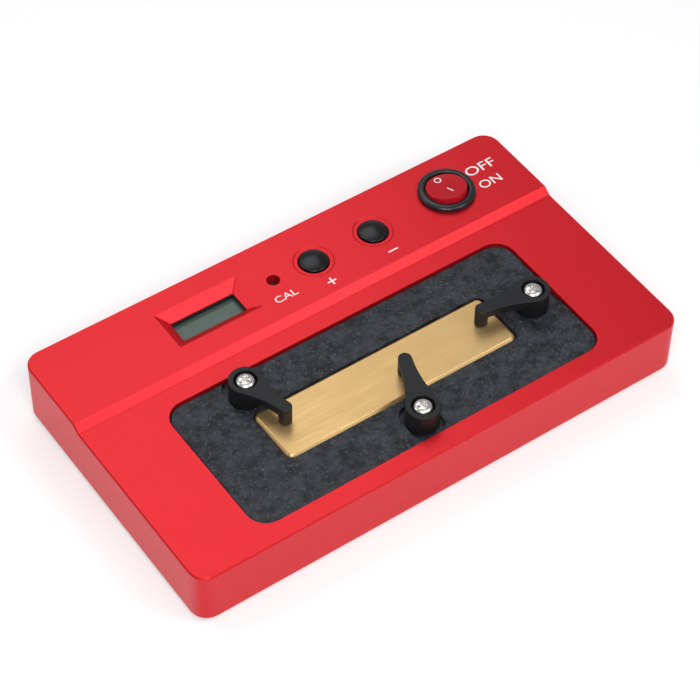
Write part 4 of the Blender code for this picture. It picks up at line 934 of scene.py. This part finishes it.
def addWords(name, words, box):
    curve = bpy.data.curves.new(name, "FONT")
    curve.body = words
    curve.resolution_u = 6
    letters = bpy.data.objects.new(name, curve)
    bpy.context.scene.collection.objects.link(letters)
    graph = bpy.context.evaluated_depsgraph_get()
    flat = bpy.data.meshes.new_from_object(letters.evaluated_get(graph))
    bpy.data.objects.remove(letters, do_unlink=True)
    builder = bmesh.new()
    builder.from_mesh(flat)
    bmesh.ops.remove_doubles(builder, verts=builder.verts, dist=0.0001)
    lowX, highX = min(v.co.x for v in builder.verts), max(v.co.x for v in builder.verts)
    lowY, highY = min(v.co.y for v in builder.verts), max(v.co.y for v in builder.verts)
    for vert in builder.verts:
        vert.co.x = box[0] + (vert.co.x - lowX) / (highX - lowX) * (box[2] - box[0])
        vert.co.y = box[1] + (vert.co.y - lowY) / (highY - lowY) * (box[3] - box[1])
        vert.co.z = panelTop - inkLayer
    raised = bmesh.ops.extrude_face_region(builder, geom=builder.faces[:] + builder.edges[:])
    for item in raised["geom"]:
        if isinstance(item, bmesh.types.BMVert):
            item.co.z = panelTop + inkLayer
    finishPiece(newPiece(name, builder, inkWhite), "chassis", "white_plastic")


def addSign(name, centre, bars):
    builder = bmesh.new()
    for length, depth in bars:
        outline = [(centre[0] + x * length / 2, centre[1] + y * depth / 2)
                   for x, y in ((-1, -1), (1, -1), (1, 1), (-1, 1))]
        liftOutline(outline, panelTop - inkLayer, panelTop + inkLayer, builder)
    return newPiece(name, builder, inkWhite)


for name, legend in legends.items():
    addWords("legend." + name, legend["words"], legend["box"])
length, stroke = signSize["length"], signSize["stroke"]
plusSign = addSign("legend.plus", signs["plus"], [(length, stroke)])
combine(plusSign, addSign("plusUpright", signs["plus"], [(stroke, length)]), "UNION")
finishPiece(plusSign, "chassis", "white_plastic")
minusSign = addSign("legend.minus", signs["minus"], [(length + 0.5, stroke)])
finishPiece(minusSign, "chassis", "white_plastic")
print("legends printed")

# Floor, backdrop and light

studio = {
    "floorColour": "#dcdcdc",
    "floorLift": 0.31,
    "farLift": 0.5,
    "liftFrom": 400.0,
    "liftTo": 1500.0,
    "cardDrop": 0.02,
    "wallRadius": 2500.0,
    "wallHeight": 800.0,
    "worldColour": "#f2f4f8",
    "worldStrength": 0.35,
    "keyPlace": (-190.0, -290.0, 440.0),
    "keySize": 240.0,
    "keyPower": 1.6,
    "fillPlace": (230.0, -330.0, 445.0),
    "fillSize": 240.0,
    "fillPower": 0.9,
    "panelPlace": (70.0, 270.0, 480.0),
    "panelSize": 380.0,
    "panelPower": 0.75,
    "rearPlace": (-433.0, 373.0, 405.0),
    "rearSize": 200.0,
    "rearPower": 0.45,
}


def addFloor():
    # a round card that curves up into a low wall far behind the object on every side
    radius, height, drop = studio["wallRadius"], studio["wallHeight"], studio["cardDrop"]
    profile = []
    for step in range(9):
        turn = step * math.pi / 16
        profile.append((radius + height * math.sin(turn), height * (1 - math.cos(turn)) - drop))
    builder = bmesh.new()
    rings = [[builder.verts.new((x, y, level)) for x, y in circlePoints(reach, 64)] for reach, level in profile]
    builder.faces.new(rings[0])
    for lower, upper in zip(rings, rings[1:]):
        for step in range(64):
            after = (step + 1) % 64
            builder.faces.new((lower[step], lower[after], upper[after], upper[step]))
    material, tree, shader = newMaterial("studio card, white", studio["floorColour"], 0.9)
    # the camera and the reflections see the card a little brighter, and its shadow stays
    path = addNode(tree, "ShaderNodeLightPath").outputs
    mirrored = addNode(tree, "ShaderNodeMath", {"operation": "MAXIMUM"},
                       {0: path["Is Camera Ray"], 1: path["Is Glossy Ray"]})
    seen = addNode(tree, "ShaderNodeMath", {"operation": "MAXIMUM"},
                   {0: mirrored.outputs[0], 1: path["Is Transmission Ray"]})
    # the lamps don't reach the card's far parts, so the camera sees these lifted more, and a low view stays white
    place = addNode(tree, "ShaderNodeTexCoord").outputs["Object"]
    reach = addNode(tree, "ShaderNodeVectorMath", {"operation": "LENGTH"}, {0: place})
    far = addNode(tree, "ShaderNodeMapRange", None, {
        "Value": reach.outputs["Value"],
        "From Min": studio["liftFrom"] * mm,
        "From Max": studio["liftTo"] * mm,
        "To Max": studio["farLift"],
    })
    extra = addNode(tree, "ShaderNodeMath", multiply, {0: path["Is Camera Ray"], 1: far.outputs[0]})
    lift = addNode(tree, "ShaderNodeMath", {"operation": "MULTIPLY_ADD"},
                   {0: seen.outputs[0], 1: studio["floorLift"], 2: extra.outputs[0]})
    glow = addNode(tree, "ShaderNodeEmission", None, {"Strength": lift.outputs[0]})
    both = addNode(tree, "ShaderNodeAddShader", None, {0: shader.outputs[0], 1: glow.outputs[0]})
    tree.links.new(both.outputs[0], tree.nodes["Material Output"].inputs["Surface"])
    newPiece("studioFloor", builder, material)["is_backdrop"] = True


def addWorld():
    world = bpy.data.worlds.new("studio")
    bpy.context.scene.world = world
    world.use_nodes = True
    tree = world.node_tree
    tree.nodes.clear()
    soft = addNode(tree, "ShaderNodeBackground", None,
                   {"Color": hexColour(studio["worldColour"]), "Strength": studio["worldStrength"]})
    addNode(tree, "ShaderNodeOutputWorld", None, {"Surface": soft.outputs[0]})


def addAreaLight(name, place, size, power):
    light = bpy.data.lights.new(name, "AREA")
    light.size = size * mm
    light.energy = power
    holder = bpy.data.objects.new(name, light)
    holder.rotation_euler = (-Vector(place)).to_track_quat("-Z", "Y").to_euler()
    holder.location = Vector(place) * mm
    bpy.context.scene.collection.objects.link(holder)


addFloor()
addWorld()
for name in ("key", "fill", "panel", "rear"):
    addAreaLight(name + "Light", studio[name + "Place"], studio[name + "Size"], studio[name + "Power"])
bpy.context.scene.view_settings.view_transform = "Standard"
print("studio lit")

sizes = {"cad": [list(map(float, corner)) for corner in cadBox],
         "visual": [list(map(float, corner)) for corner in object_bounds()]}
